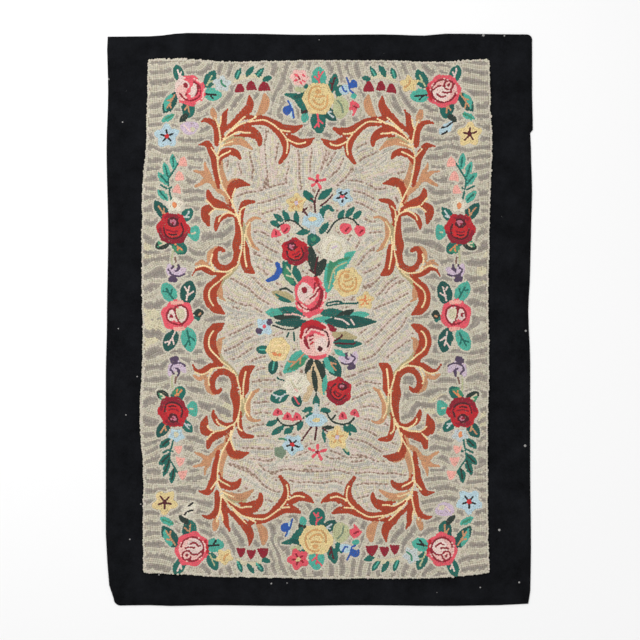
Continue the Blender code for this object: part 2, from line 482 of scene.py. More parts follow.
# Yarn, widths along the band, points
SCROLL_BANDS = (
    # tan shadow leaves behind the rust
    ("tan", (8, 11, 14, 15), ((254, 418), (252, 395), (246, 372), (239, 350), (232, 328))),
    ("tan", (5, 13, 12), ((230, 322), (262, 344), (284, 368))),
    ("tan", (13, 15, 8, 3), ((284, 368), (296, 380), (312, 389), (331, 393))),
    ("tan", (13, 14, 8, 3), ((284, 370), (293, 390), (298, 403), (299, 416))),
    ("tan", (13, 11, 9, 6), ((282, 366), (297, 368), (312, 360), (325, 354))),
    ("tan", (12, 16, 14, 10), ((272, 536), (275, 548), (277, 558))),
    ("tan", (8, 14, 22, 20, 9), ((163, 534), (150, 548), (142, 562), (139, 578), (141, 592))),
    ("olive", (4, 7, 8, 4), ((244, 468), (226, 481), (206, 483), (188, 480))),
    ("tan", (6, 15, 17, 14, 5), ((250, 458), (226, 469), (206, 472), (186, 466), (167, 454))),
    ("olive", (7, 14, 15, 9), ((203, 262), (195, 240), (196, 214), (200, 190))),
    ("tan", (4, 10, 12, 9, 12, 5),
     ((150, 270), (168, 271), (182, 259), (183, 238), (181, 218), (173, 198), (155, 183))),
    ("tan", (5, 9, 12, 8), ((325, 146), (309, 155), (295, 149), (288, 140))),
    ("tan", (5, 10, 10, 5), ((290, 152), (289, 172), (283, 187), (270, 196))),
    ("olive", (6, 11, 12, 7), ((208, 150), (226, 128), (246, 112), (257, 92))),
    ("tan", (6, 14, 15, 8, 3), ((259, 90), (260, 72), (257, 58), (246, 50))),
    ("tan", (5, 10, 12, 9, 3), ((236, 300), (242, 330), (234, 356), (214, 371), (192, 371))),
    ("rust", (6, 16, 21, 19, 4), ((229, 304), (232, 334), (223, 354), (205, 363), (177, 360))),
    # rust, from the head of the quarter down
    ("rust", (12, 13, 13, 13, 14, 10, 3),
     ((266, 462), (267, 480), (269, 502), (278, 520), (294, 528), (310, 524))),
    ("rust", (6, 14, 14, 13, 3), ((253, 470), (251, 500), (247, 523), (244, 545), (235, 561))),
    ("rust", (4, 9, 12, 20, 22, 16, 3),
     ((251, 492), (232, 512), (210, 530), (191, 547), (179, 566), (178, 581), (180, 596))),
    ("rust", (12, 9, 10, 14, 20, 20, 8),
     ((190, 538), (166, 535), (140, 533), (114, 520), (88, 505), (62, 504), (44, 511))),
    ("rust", (5, 8, 10, 14, 18, 18, 15, 8),
     ((200, 516), (166, 520), (132, 519), (108, 504), (90, 486), (80, 462), (82, 440), (96, 420))),
    ("rust", (10, 22, 22, 16, 3), ((72, 486), (52, 470), (36, 469), (22, 474), (10, 483))),
    ("rust", (3, 10, 13, 24, 26, 17, 9),
     ((246, 474), (222, 499), (198, 505), (174, 498), (158, 490), (149, 478), (148, 466))),
    ("rust", (2, 8, 10), ((216, 486), (196, 489), (168, 490))),
    ("rust", (7, 15, 20, 16, 6), ((260, 434), (244, 443), (224, 444), (209, 439), (200, 427))),
    ("rust", (5, 9, 8), ((258, 412), (250, 428), (232, 436))),
    ("rust", (9, 12, 13, 14, 18, 15, 3),
     ((262, 352), (267, 380), (272, 402), (275, 424), (281, 443), (293, 462), (316, 461))),
    ("rust", (11, 14, 19, 20, 10), ((222, 286), (244, 300), (266, 308), (284, 318), (291, 339))),
    ("rust", (12, 20, 20, 6), ((282, 302), (300, 294), (300, 276), (294, 255))),
    ("rust", (10, 12, 13, 15, 13, 5),
     ((220, 276), (238, 282), (254, 276), (266, 268), (273, 252), (274, 240))),
    ("rust", (12, 14, 15, 14, 8), ((205, 250), (206, 274), (201, 298), (192, 312), (168, 316))),
    ("rust", (11, 16, 18, 21, 15, 14, 15, 14, 13, 13, 12, 8),
     ((217, 268), (212, 242), (213, 216), (217, 196), (216, 173), (224, 148), (246, 138), (264, 146),
      (273, 164), (272, 182), (262, 192), (251, 186))),
    ("rust", (8, 22, 24, 24, 22, 6), ((194, 204), (193, 176), (191, 152), (186, 134), (169, 121))),
    ("rust", (10, 12, 12, 11, 6, 2),
     ((254, 124), (276, 124), (294, 132), (307, 138), (320, 132), (330, 116))),
    ("rust", (9, 18, 28, 30, 28, 22, 5),
     ((250, 124), (266, 102), (280, 82), (284, 60), (279, 38), (266, 24), (249, 14))),
)
# The points of the straw-coloured rows, one for each leaf
SCROLL_VEINS = (
    ((235, 325), (251, 353), (258, 378), (262, 400), (263, 434), (256, 457), (256, 475), (261, 506),
     (266, 522), (272, 536)),
    ((261, 508), (256, 522), (255, 535)),
    ((228, 300), (226, 326), (217, 348)),
    ((255, 464), (244, 482), (224, 501), (206, 516), (184, 524), (162, 527), (140, 528), (122, 520),
     (100, 504), (85, 488), (77, 474), (76, 457), (79, 442)),
    ((97, 502), (84, 499), (70, 498)),
    ((77, 479), (65, 472), (50, 467), (33, 470)),
    ((244, 482), (224, 506), (206, 524), (189, 540)),
    ((184, 524), (172, 531), (162, 536)),
    ((251, 470), (235, 482), (222, 490), (204, 498), (190, 496), (173, 496)),
    ((256, 457), (240, 465), (220, 472)),
    ((262, 426), (248, 435), (229, 444)),
    ((265, 430), (275, 444), (283, 454)),
    ((235, 325), (224, 304), (215, 276), (208, 258), (202, 230), (201, 203), (202, 184), (208, 161),
     (210, 148), (224, 136), (240, 128), (261, 129), (276, 132), (288, 141), (304, 145), (323, 138)),
    ((215, 276), (231, 285), (247, 293), (273, 297), (286, 308), (295, 318)),
    ((274, 297), (285, 290), (292, 282)),
    ((222, 281), (240, 286), (254, 281), (263, 273), (267, 262)),
    ((208, 258), (208, 284), (204, 294), (196, 300)),
    ((194, 224), (195, 196), (193, 166), (190, 148), (188, 137)),
    ((179, 261), (189, 244), (190, 226), (181, 206), (175, 193)),
    ((273, 133), (281, 148), (284, 161), (281, 174)),
    ((210, 146), (232, 124), (248, 114), (262, 100), (276, 88), (285, 74), (286, 56), (281, 42), (275, 33)),
)


def scrollwork(chart):
    """The rust scrolls of one quarter, with their tan shadows and the straw-coloured row down each leaf."""
    chart.now = KINDS.index("scrolls")
    for yarn, widths, points in SCROLL_BANDS:
        chart.stroke(points, [width * SCROLL_SPREAD for width in widths], yarn)
    for points in SCROLL_VEINS:
        chart.row(points, "straw")


# The inner field's edge, one quarter of it: from the middle of an end, inside the scrolls, to the middle
# of a side
FIELD_EDGE = (
    (0, 478), (12, 482), (55, 470), (80, 500), (118, 520), (178, 526), (226, 500), (258, 470), (264, 434),
    (258, 395), (246, 350), (228, 316), (212, 270), (212, 200), (222, 146), (262, 112), (284, 70), (280, 34),
    (250, 12), (250, 0),
)


def field_inside(u, v):
    """Whether places lie inside the field's edge, by the edge's reach at their angle."""
    edge = smooth_path(FIELD_EDGE, 4)
    angles, reach = np.arctan2(edge[:, 1], edge[:, 0]), np.hypot(edge[:, 0], edge[:, 1])
    order = np.argsort(angles)
    return np.hypot(u, v) < np.interp(np.arctan2(np.abs(v), np.abs(u)), angles[order], reach[order])


# ---------------------------------------------------------------- flowers of one quarter

QUARTERS = (
    # star is its petals, marks and heart, bud its pale and its dark yarn, spray its leaves and their veins;
    # posy and cup are the yarns of two small flowers, and lined is for a corner rose in outline
    {"flip": (-1, 1), "star": ("light_blue", "black", "scarlet"), "posy": "silver", "bud": ("lilac", None),
     "spray": ("aqua", "teal"), "cup": "white", "lined": False},
    {"flip": (1, 1), "star": ("yellow", "maroon", "maroon"), "posy": "yellow", "bud": ("light_blue", "black"),
     "spray": ("aqua", "teal"), "cup": "orange", "lined": True},
    {"flip": (-1, -1), "star": ("yellow", "maroon", "maroon"), "posy": "yellow", "bud": ("white", "black"),
     "spray": ("teal", "bottle"), "cup": "light_blue", "lined": True},
    {"flip": (1, -1), "star": ("light_blue", "black", "scarlet"), "posy": "silver", "bud": ("lilac", None),
     "spray": ("teal", "bottle"), "cup": "silver", "lined": True},
)


# The five leaves and the two leaflets of a corner's rose
CORNER_LEAVES = (
    ((360, 638), (374, 676), 31, "teal", "blush", 1),
    ((290, 622), (268, 665), 30, "teal", "pale_green", 1),
    ((296, 602), (253, 598), 36, "aqua", "black", 1),
    ((376, 602), (409, 552), 34, "deep_teal", "tan", 2, "aqua"),
    ((344, 582), (340, 538), 37, "teal", "tan", 1, "deep_teal"),
    ((384, 546), (416, 530), 18, "aqua", "sea_green"),
    ((346, 545), (368, 525), 17, "bottle"),
)


def corner_rose(chart, look):
    """The pink rose of a corner, with its five leaves, two leaflets, star flower, pale posy and bud."""
    greenery(chart, CORNER_LEAVES)
    if look["lined"]:
        motif(chart, (335, 610), 43, LINED_ROSE, 0.1)
    else:
        motif(chart, (335, 610), 42, PINK_ROSE, 0.1, face=-1)
    petals, marks, heart = look["star"]
    star(chart, (404, 489), 28, petals, marks, heart)
    posy = look["posy"]
    chart.blob((248, 630), (21, 19), posy, 5, 0.2, 0.4)
    chart.row([(238, 622), (248, 630), (250, 641)], "sea_green" if posy == "silver" else "gold")
    pale, dark = look["bud"]
    if dark:
        chart.stroke([(352, 522), (342, 508), (330, 500)], [14, 26, 14], pale)
        chart.row([(356, 524), (344, 514), (332, 512)], dark)
        chart.row([(346, 502), (334, 494)], dark)
    else:
        chart.blob((342, 508), (25, 18), pale, 3, 0.08, 0.6)
        chart.row([(356, 514), (342, 500), (326, 504)], "blush")
        chart.blob((334, 503), (8, 6), "butter")


def fan_spray(chart):
    """Three crimson fans under an arch of pale green, with four slim leaves above it."""
    chart.now = KINDS.index("leaves")
    chart.stroke([(140, 634), (162, 646), (190, 646), (218, 634)], [6, 13, 13, 6], "butter")
    for foot, tip, vein in (((146, 635), (122, 641), None), ((160, 646), (143, 669), "aqua"),
                            ((186, 648), (168, 674), None), ((212, 642), (201, 671), "aqua")):
        leaf(chart, foot, tip, 15, "teal", vein)
    chart.now = KINDS.index("flowers")
    for place, width, height in (((142, 607), 31, 25), ((175, 611), 26, 24), ((203, 607), 26, 23)):
        chart.fan(place, width, height, "crimson")


def side_spray(chart, look):
    """A slim stem with four leaves, three salmon petals and a small flower at its foot."""
    body, vein = look["spray"]
    greenery(chart, (
        ((385, 402), (389, 440), 18, body, vein),
        ((398, 377), (411, 419), 17, body, vein),
        ((397, 360), (424, 388), 20, body, vein),
        ((398, 318), (422, 342), 20, body, vein),
        ("teal", (), (388, 322), (393, 345), (397, 370), (386, 391), (374, 412)),
        ("teal", (), (415, 355), (398, 347), (386, 352)),
    ))
    chart.now = KINDS.index("flowers")
    for place, turn, size in (((361, 408), 0.1, 25), ((367, 371), -0.1, 25), ((374, 338), 0.1, 22)):
        chart.fan(place, size, size * 0.95, "salmon", turn)
    cup = look["cup"]
    chart.blob((378, 306), (20, 17), "white" if cup == "orange" else cup, 5, 0.15, 0.3)
    chart.blob((379, 305), (6, 8), "orange" if cup != "light_blue" else "butter")


# The four leaves of a side's red rose, and a round one with a short vein
RED_ROSE_LEAVES = (
    ((398, 270), (428, 311), 31, "deep_teal", "tan", 1),
    ((360, 266), (336, 296), 27, "teal", "silver", 1),
    ((394, 210), (427, 192), 27, "bottle", "butter", 1, "sea_green"),
    ((380, 206), (352, 180), 34, "teal", "orange", 1, "sea_green"),
    ("aqua", (15, 20, 3, 0.1), (330, 233)),
    ("butter", (), (338, 232), (328, 234)),
)
# The stem that the tulip hangs from, and a short one beside it
TULIP_STEMS = (
    ("pale_green", (), (383, 182), (385, 160), (383, 140)),
    ("brown", (), (377, 168), (374, 152)),
)


def red_rose_group(chart):
    """The red rose of a side with its leaves, and the tulip that hangs from it on a pale stem."""
    greenery(chart, RED_ROSE_LEAVES)
    motif(chart, (383, 243), 40, RED_ROSE)
    greenery(chart, TULIP_STEMS)
    tulip(chart, (371, 122), 28, 0.15)


def side_leaves(chart, drop, outer, inner):
    """The pair of large leaves above, or below, the pink rose of a side."""
    veins = {"aqua": "teal", "deep_teal": "blush"}
    leaf(chart, (376, 50 - drop), (404, 96 - drop), 39, outer, veins[outer], 2)
    leaf(chart, (344, 44 - drop), (334, 100 - drop), 42, inner, veins[inner], 2)


# ---------------------------------------------------------------- the bouquet and the two end posies


def berry(chart, centre, radius):
    """A small coral berry with a crimson mark down it."""
    chart.now = KINDS.index("flowers")
    chart.blob(centre, (radius, radius), "coral", 3, 0.05, 0.5)
    u, v = centre
    chart.row([(u - 1, v - radius * 0.5), (u + radius * 0.4, v + 1)], "crimson")


# The leaves and stems of the bouquet's upper sprays
UPPER_LEAVES = (
    ((-11, 314), (-36, 347), 18.8, "teal"),
    ((4, 319), (38, 348), 18.8, "teal"),
    ((-96, 252), (-123, 262), 15.98, "teal"),
    ((-87, 263), (-112, 283), 16.92, "teal"),
    ((-72, 263), (-87, 292), 16.92, "teal"),
    ((-49, 256), (-54, 289), 15.98, "teal"),
    ((-15, 233), (-50, 229), 15.98, "teal"),
    ((12, 225), (31, 254), 16.92, "teal"),
    ((57, 262), (72, 289), 15.04, "teal"),
    ((76, 270), (98, 296), 15.98, "teal"),
    ((96, 264), (117, 287), 15.98, "teal"),
    ("teal", (12, 16, 14, 7), (14, 268), (19, 290), (32, 296), (43, 286)),
    ("bottle", (), (-34, 243), (-54, 261), (-72, 266), (-90, 256), (-102, 245)),
    ("bottle", (), (32, 228), (50, 256), (73, 266), (94, 263), (107, 248)),
    ("maroon", (), (-2, 281), (-5, 314), (3, 343)),
    ("maroon", (), (9, 299), (27, 314), (40, 331)),
    ("maroon", (), (-5, 310), (-15, 322)),
    ("maroon", (), (-39, 299), (-22, 276)),
    ("maroon", (), (-24, 298), (-37, 286)),
)


def bouquet_heads(chart):
    """The upper sprays of the bouquet, above the red and the white rose."""
    greenery(chart, UPPER_LEAVES)
    sprig(chart, np.array((-3, 368)), 21)
    star(chart, (-54, 312), 23, "yellow", "gold", "lilac")
    star(chart, (67, 325), 23, "light_blue", "black", "coral", 5, 0.9)
    chart.blob((-8, 262), (28, 21), "light_blue", 7, 0.07)
    chart.blob((-9, 266), (11, 6), "yellow")
    chart.stroke([(-7, 244), (-6, 228)], [13, 16], "silver")
    dome(chart, np.array((-104, 221)), 31, 0.25)
    berry(chart, (-80, 243), 14)
    berry(chart, (76, 238), 15)
    berry(chart, (112, 233), 14)
    chart.now = KINDS.index("leaves")
    chart.blob((-6, 210), (17, 16), "teal", 3, 0.12)
    chart.blob((-5, 211), (6, 6), "sea_green")


# The large leaves that lie behind the roses of the bouquet, with their stems
BOUQUET_LEAVES = (
    ((-3, 119), (-15, 198), 25, "bottle"),
    ((-1, 114), (25, 164), 22, "bottle"),
    ("maroon", (), (-5, 122), (-2, 140), (5, 166)),
    ("maroon", (), (-4, 122), (-20, 133)),
    ((30, 80), (96, 176), 44, "aqua", "pale_green", 2, "sea_green", 0.14),
    ((-50, 92), (-86, 150), 46, "teal", "butter", 2, "sea_green"),
    ((-62, 50), (-124, 68), 28, "olive", None, 0, "teal"),
    ("bottle", (), (-103, 75), (-85, 79), (-64, 69)),
    ("deep_teal", (), (30, 47), (52, 52), (68, 51)),
    ("deep_teal", (), (30, 41), (70, 46), (110, 45)),
    # to the left and to the right, level with the middle
    ((-94, 14), (-141, 18), 24, "aqua"),
    ((-24, 12), (-106, 27), 28, "teal", None, 0, "deep_teal"),
    ((-50, 2), (-123, 6), 17, "bottle"),
    ((-20, -8), (-114, -9), 23, "deep_teal"),
    ("rose_pink", (), (-28, 6), (-56, 13), (-84, 12)),
    ("cream", (), (-113, -13), (-84, -22), (-54, -22)),
    ((14, 20), (72, 26), 22, "teal"),
    ((82, 8), (142, 16), 24, "aqua"),
    ((58, 12), (106, 28), 18, "bottle"),
    ((50, 1), (-6, 4), 22, "aqua"),
    ((30, 0), (157, -6), 36, "deep_teal"),
    ("blush", (), (52, 8), (72, 4), (88, -8)),
    ("blush", (), (96, 2), (104, -12)),
    # under the lower rose
    ("olive", (14, 24, 8), (50, -36), (78, -40), (106, -46)),
    ("maroon", (), (49, -54), (66, -44), (70, -40)),
    ((46, -60), (122, -64), 25, "teal", "maroon"),
    ((50, -80), (74, -94), 15, "aqua"),
    ((24, -100), (60, -152), 42, "deep_teal", "tan", 1),
    ("aqua", (12, 18, 8), (24, -104), (30, -124), (42, -142)),
    ((-27, -84), (-91, -139), 40, "aqua", "tan", 2, "sea_green"),
    ("sand", (36, 40, 18), (-2, -126), (4, -160), (12, -196)),
    ("sand", (18, 26, 16), (-22, -150), (-24, -186), (-34, -214)),
    ((-14, -104), (-35, -143), 17, "bottle"),
    ((-8, -102), (14, -172), 19, "bottle", None, 0, None, 0.1),
    ((-13, -128), (-5, -206), 15, "bottle"),
    ((20, -154), (15, -203), 15, "aqua"),
    ((-132, -77), (-162, -75), 23, "teal", "aqua"),
    ((-115, -106), (-122, -141), 26, "deep_teal", "aqua"),
    ((-86, -196), (-124, -212), 37, "teal", "silver", 2),
    ((-66, -204), (-50, -232), 25, "deep_teal", "coral"),
    ("deep_teal", (), (-108, -153), (-90, -161)),
    ("bottle", (), (-118, -15), (-95, -23), (-72, -26), (-49, -20)),
    ("deep_teal", (), (-62, -31), (-60, -56)),
    ("deep_teal", (), (-76, -36), (-82, -46)),
)


def bouquet_roses(chart):
    """The roses of the bouquet and the small flowers beside them."""
    chart.stroke([(-104, 144), (-99, 125), (-112, 108), (-133, 99)], [12, 15, 14, 9], "blue")
    motif(chart, (83, 100), 36, yellow_rose(), 0.2)
    motif(chart, (-104, -76), 31, yellow_rose("straw"), 3.2)
    for place in ((-113, -88), (-101, -90)):
        chart.blob(place, (5, 5), "orange")
    star(chart, (131, 51), 20, "yellow", "orange", "orange")
    chart.blob((45, 187), (33, 34), "white", 8, 0.07)
    chart.row([(28, 176), (36, 198), (56, 202), (64, 184), (52, 170)], "butter")
    chart.row([(42, 186), (50, 190)], "lilac")
    chart.blob((-59, -173), (33, 31), "white", 8, 0.09)
    chart.row([(-74, -160), (-62, -182), (-48, -184)], "butter")
    chart.row([(-64, -184), (-56, -192)], "rose_pink")
    chart.row([(-46, -156), (-56, -170)], "cream")
    motif(chart, (-55, 179), 36, RED_ROSE, 0.5)
    motif(chart, (58, -194), 36, RED_ROSE, -0.6)
    chart.stroke([(34, -14), (48, -22)], [16, 14], "crimson")
    motif(chart, (-17, 62), 44, FULL_ROSE, 0.1, long=1.22)
    motif(chart, (0, -53), 47, FOLDED_ROSE, long=1.15)
    tulip(chart, (84, -112), 27, 0.2)
    chart.blob((-143, -18), (21, 21), "light_blue", 4, 0.22, 0.8)
    for place in ((-158, -28), (-130, -6)):
        chart.blob(place, (9, 8), "plum")
    chart.blob((-143, -17), (5, 5), "coral")


# The leaves and stems of its lower sprays
LOWER_LEAVES = (
    ((-4, -240), (-6, -206), 20.68, "teal"),
    ((-14, -240), (-42, -246), 15.04, "teal"),
    ((-8, -252), (-38, -262), 12.22, "teal"),
    ((8, -244), (36, -250), 15.04, "teal"),
    ((-109, -273), (-134, -284), 15.98, "teal"),
    ((-90, -286), (-119, -310), 16.92, "teal"),
    ((-66, -288), (-87, -307), 15.98, "teal"),
    ((-42, -272), (-52, -297), 15.98, "teal"),
    ((73, -286), (89, -311), 15.98, "teal"),
    ((84, -282), (106, -301), 16.92, "teal"),
    ((14, -298), (20, -328), 10.34, "teal"),
    ((12, -292), (46, -290), 10, "bottle"),
    ((63, -337), (83, -361), 12, "teal", None, 0, "pale_green"),
    ("bottle", (), (-36, -262), (-54, -278), (-72, -284), (-92, -280), (-107, -265)),
    ("bottle", (), (24, -252), (38, -273), (63, -282), (84, -279), (100, -267)),
    ("bottle", (), (38, -272), (48, -260)),
    ("maroon", (), (-18, -290), (-28, -304), (-42, -324)),
    ("maroon", (), (-2, -290), (-7, -322)),
    ("maroon", (), (12, -291), (33, -306)),
)


def bouquet_feet(chart):
    """The lower sprays of the bouquet."""
    greenery(chart, LOWER_LEAVES)
    chart.now = KINDS.index("flowers")
    chart.stroke([(-5, -232), (-5, -252)], [12, 18], "silver")
    chart.blob((-4, -271), (29, 17), "light_blue", 6, 0.05)
    chart.blob((-4, -271), (11, 5), "yellow")
    for place, turn in (
        ((-106, -254), 0.1), ((-81, -267), -0.1), ((-55, -268), 0.1),
        ((70, -268), 0.1), ((102, -258), -0.1),
    ):
        dome(chart, np.array(place), 27, turn)
    star(chart, (53, -316), 26, "yellow", "gold", "lilac")
    star(chart, (-64, -334), 24, "light_blue", "black", "scarlet", 5, 0.9)
    sprig(chart, np.array((-2, -352)), 21)
    chart.now = KINDS.index("leaves")
    chart.blob((-95, -356), (15, 15), "sage", 5, 0.08)
    chart.row([(-100, -320), (-82, -320)], "sea_green")


# The leaves round the yellow rose of an end
POSY_LEAVES = (
    ((3, 620), (0, 668), 41, "aqua", "coral", 2),
    ((36, 606), (48, 652), 27, "teal", "maroon", 1),
    ((54, 596), (66, 622), 22, "teal"),
    ((-30, 612), (-38, 628), 13, "teal"),
    ((0, 548), (5, 500), 41, "teal", "coral", 2),
    ((16, 562), (50, 534), 29, "deep_teal", "silver", 1),
    ((-34, 560), (-38, 538), 20, "bottle", "maroon"),
    ((-32, 544), (-36, 524), 20, "aqua"),
    ("teal", (4, 16, 22, 14), (-90, 594), (-66, 590), (-50, 578), (-38, 560)),
    ("deep_teal", (10, 12), (-62, 588), (-36, 598)),
    ("pale_green", (22, 28, 3, 0.06), (64, 566)),
    ("sage", (), (54, 584), (66, 570), (70, 552)),
    ("pale_green", (10, 14), (-60, 610), (-44, 608)),
    ("aqua", (9, 7), (100, 594)),
)


def end_posy(chart, upper):
    """The yellow rose of an end, with its leaves and its blue and pink flowers."""
    greenery(chart, POSY_LEAVES)
    motif(chart, (1, 587), 42, yellow_rose())
    chart.now = KINDS.index("flowers")
    if upper:
        chart.blob((-51, 642), (24, 22), "rose_pink", 6, 0.1)
        for a, b in ((-62, 650), (-42, 650), (-62, 634), (-42, 634), (-51, 628)):
            chart.stroke([(a, b), (a + 4, b - 3)], [6, 6], "coral")
        chart.row([(-54, 646), (-51, 636)], "crimson")
    else:
        star(chart, (-46, 640), 25, "coral", "crimson", "yellow", 5, 0.6)
    chart.blob((74, 610), (15, 13), "light_blue")
    chart.stroke([(90, 618), (100, 624), (106, 618)], [12, 20, 8], "blue")
    chart.row([(78, 642), (86, 625), (90, 608), (97, 603)], "blue")
    chart.row([(68, 616), (74, 606), (82, 606)], "blue")
    chart.stroke([(-74, 572), (-72, 548), (-64, 534)], [8, 16, 8], "light_blue")
    chart.blob((-82, 552), (11, 12), "blue")
    chart.row([(-80, 576), (-68, 554), (-63, 532)], "blue")
    chart.fan((102, 562), 32, 22, "coral", 0.25)
    chart.stroke([(104, 562), (98, 546)], [14, 4], "coral")
    chart.row([(98, 569), (106, 566)], "crimson")


def ink_pattern(chart):
    """Everything on the chart, the pieces that lie over others last."""
    inner = (chart.part == BORDER) & field_inside(chart.u, chart.v)
    chart.part[inner], chart.kind[inner] = FIELD, KINDS.index("field")
    for look in QUARTERS:
        chart.flip = look["flip"]
        scrollwork(chart)
        fan_spray(chart)
        corner_rose(chart, look)
        side_spray(chart, look)
        red_rose_group(chart)
    for side in (-1, 1):
        for end, drop in ((1, 0), (-1, 14)):
            chart.flip = (side, end)
            pair = ("deep_teal", "aqua") if (side, end) == (-1, -1) else ("aqua", "deep_teal")
            side_leaves(chart, drop, *pair)
        chart.flip = (side, 1)
        motif(chart, (368, 8), 42, RING_ROSE)
        chart.now = KINDS.index("leaves")
        chart.stroke([(322, 2), (314, -4)], [8, 10], "teal")
        chart.blob((312, 12), (12, 12), "bottle", 4, 0.08)
        chart.row([(309, 10), (313, 8)], "tan")
    for end in (1, -1):
        chart.flip = (1, end)
        end_posy(chart, end == 1)
    chart.flip = (1, 1)
    bouquet_heads(chart)
    bouquet_feet(chart)
    greenery(chart, BOUQUET_LEAVES)
    bouquet_roses(chart)


# ---------------------------------------------------------------- how far each cell is from its part's edge


def shifted(grid, down, right, fill):
    """The grid moved so that each cell holds the value of the cell (down, right) away from it."""
    made = np.full_like(grid, fill)
    rows, columns = grid.shape
    made[max(0, -down):rows - max(0, down), max(0, -right):columns - max(0, right)] = grid[
        max(0, down):rows + min(0, down), max(0, right):columns + min(0, right)
    ]
    return made


def around(step):
    """The eight ways (down, right) to the neighbours a step away."""
    return [(a * step, b * step) for a in (-1, 0, 1) for b in (-1, 0, 1) if a or b]


def edge_distances(label):
    """Each cell's distance to its own part's edge, in mm, and the unit way from that edge inward.

    Every cell on an edge knows itself; the news then jumps 32, 16, 8, 4, 2 and 1 cells at a time inside the
    part, and each cell keeps the nearest edge cell that it hears of. The ways are averaged with their
    neighbours in the same part.
    """
    rows, columns = np.indices(label.shape, dtype=np.float32)
    edge = np.zeros(label.shape, bool)
    for down, right in ((0, 1), (1, 0), (0, -1), (-1, 0)):
        edge |= shifted(label, down, right, OUTSIDE) != label
    far = np.float32(1e6)
    near_row, near_column = np.where(edge, rows, far), np.where(edge, columns, far)
    best = (rows - near_row) ** 2 + (columns - near_column) ** 2
    for step in (32, 16, 8, 4, 2, 1):
        for down, right in around(step):
            heard_row = shifted(near_row, down, right, far)
            heard_column = shifted(near_column, down, right, far)
            found = (rows - heard_row) ** 2 + (columns - heard_column) ** 2
            better = (found < best) & (shifted(label, down, right, OUTSIDE) == label)
            best[better] = found[better]
            near_row[better], near_column[better] = heard_row[better], heard_column[better]
    reach = np.sqrt(best).clip(0, 400)
    way_x, way_y = (columns - near_column) / (reach + 0.01), (rows - near_row) / (reach + 0.01)
    for _ in range(3):
        sum_x, sum_y, sum_reach, count = way_x.copy(), way_y.copy(), reach.copy(), np.ones_like(reach)
        for down, right in around(1):
            same = shifted(label, down, right, OUTSIDE) == label
            sum_x += shifted(way_x, down, right, 0) * same
            sum_y += shifted(way_y, down, right, 0) * same
            sum_reach += shifted(reach, down, right, 0) * same
            count += same
        way_x, way_y, reach = sum_x / count, sum_y / count, sum_reach / count
    size = np.hypot(way_x, way_y) + 1e-6
    return (reach + 0.5) * CELL, way_x / size, way_y / size


# ---------------------------------------------------------------- the striped ground

STRIPE_CORNER = (352, 690)  # the border's stripes are rings about this place, and level outward of it
BORDER_BAND = 26.6  # one light and one dark stripe together
LIGHT_SHARE = 0.53  # the light stripe's share of that
# The border's yarns across one band: from, to, yarn
BORDER_STRIPES = (
    (0, 0.18, "cream"), (0.18, 0.36, "oatmeal"), (0.36, LIGHT_SHARE, "cream"),
    (LIGHT_SHARE, 0.7, "grey"), (0.7, 0.86, "slate_grey"), (0.86, 1, "grey"),
)
CALM = 300  # the waves are full this far from the stripe corner
EDDY_PUSH = 0.6  # how strongly a flower turns the stripes aside, as a share of its reach
EDDY_CORE = 0.35  # nearer than this share of its reach the push grows no more
STRIPE_STRAY = 0.7  # how unevenly a stripe ends, in mm
WIDE_BELOW = 250  # nearer the middle of the sides than this the stripes are wider,
WIDE_STRIPES = 0.72  # because the height climbs by only this share
# Flowers that the border's stripes flow round: quarter place, reach
EDDIES = (
    ((335, 608), 62), ((404, 489), 30), ((352, 515), 22), ((180, 630), 40), ((390, 365), 45),
    ((383, 243), 50), ((371, 125), 26), ((368, 8), 66), ((0, 585), 70), ((84, 590), 40),
)
# The inner field is worked in patches: place from the middle, and the way its rows run, in degrees
PATCHES = (
    (-139, 385, 90), (-60, 400, 90), (-19, 435, 90), (60, 400, 60), (181, 385, 20), (120, 350, 0),
    (88, 300, -20), (-99, 327, 0), (-179, 300, 20), (-160, 180, -10), (-120, 210, -35), (-173, 79, -35),
    (-120, 110, -30), (-165, -41, 30), (-157, -175, 10), (-110, -150, -10), (130, 180, 50), (181, 132, 40),
    (140, 60, 20), (168, -49, 50), (120, -100, 10), (168, -180, 0), (150, 260, -20), (168, -321, -25),
    (100, -200, 20), (-179, -335, 0), (-45, -428, 0), (141, -428, 10), (-150, -430, -30), (-100, -380, 10),
    (60, -400, -15), (0, 10, 0),
)
PATCH_BLEND = 600  # in square mm, how softly one patch turns into the next
FIELD_ROWS = ("tan_dots", "pale", "mist", "pale", "butter", "rosy_pale")
MIXED = 0.35  # the share of odd loops in the inner field
MIXED_YARNS = ("pale", "pale", "mist", "rosy_pale", "butter", "oatmeal")


def slow_noise(x, y, size, seed):
    """A smooth uneven height, mostly from -1 to 1: a third of the sum of five sine waves, each its own way.

    A wave is sine(place along its way x 2 pi x (0.7 + 0.2 x its number) / size + 3 x seed + 2 x its number).
    """
    made = np.zeros_like(x)
    for wave in range(5):
        way = seed + 1.3 * wave
        pitch = (0.7 + 0.2 * wave) * 2 * math.pi / size
        made += np.sin((x * math.cos(way) + y * math.sin(way)) * pitch + seed * 3 + wave * 2)
    return made / 3


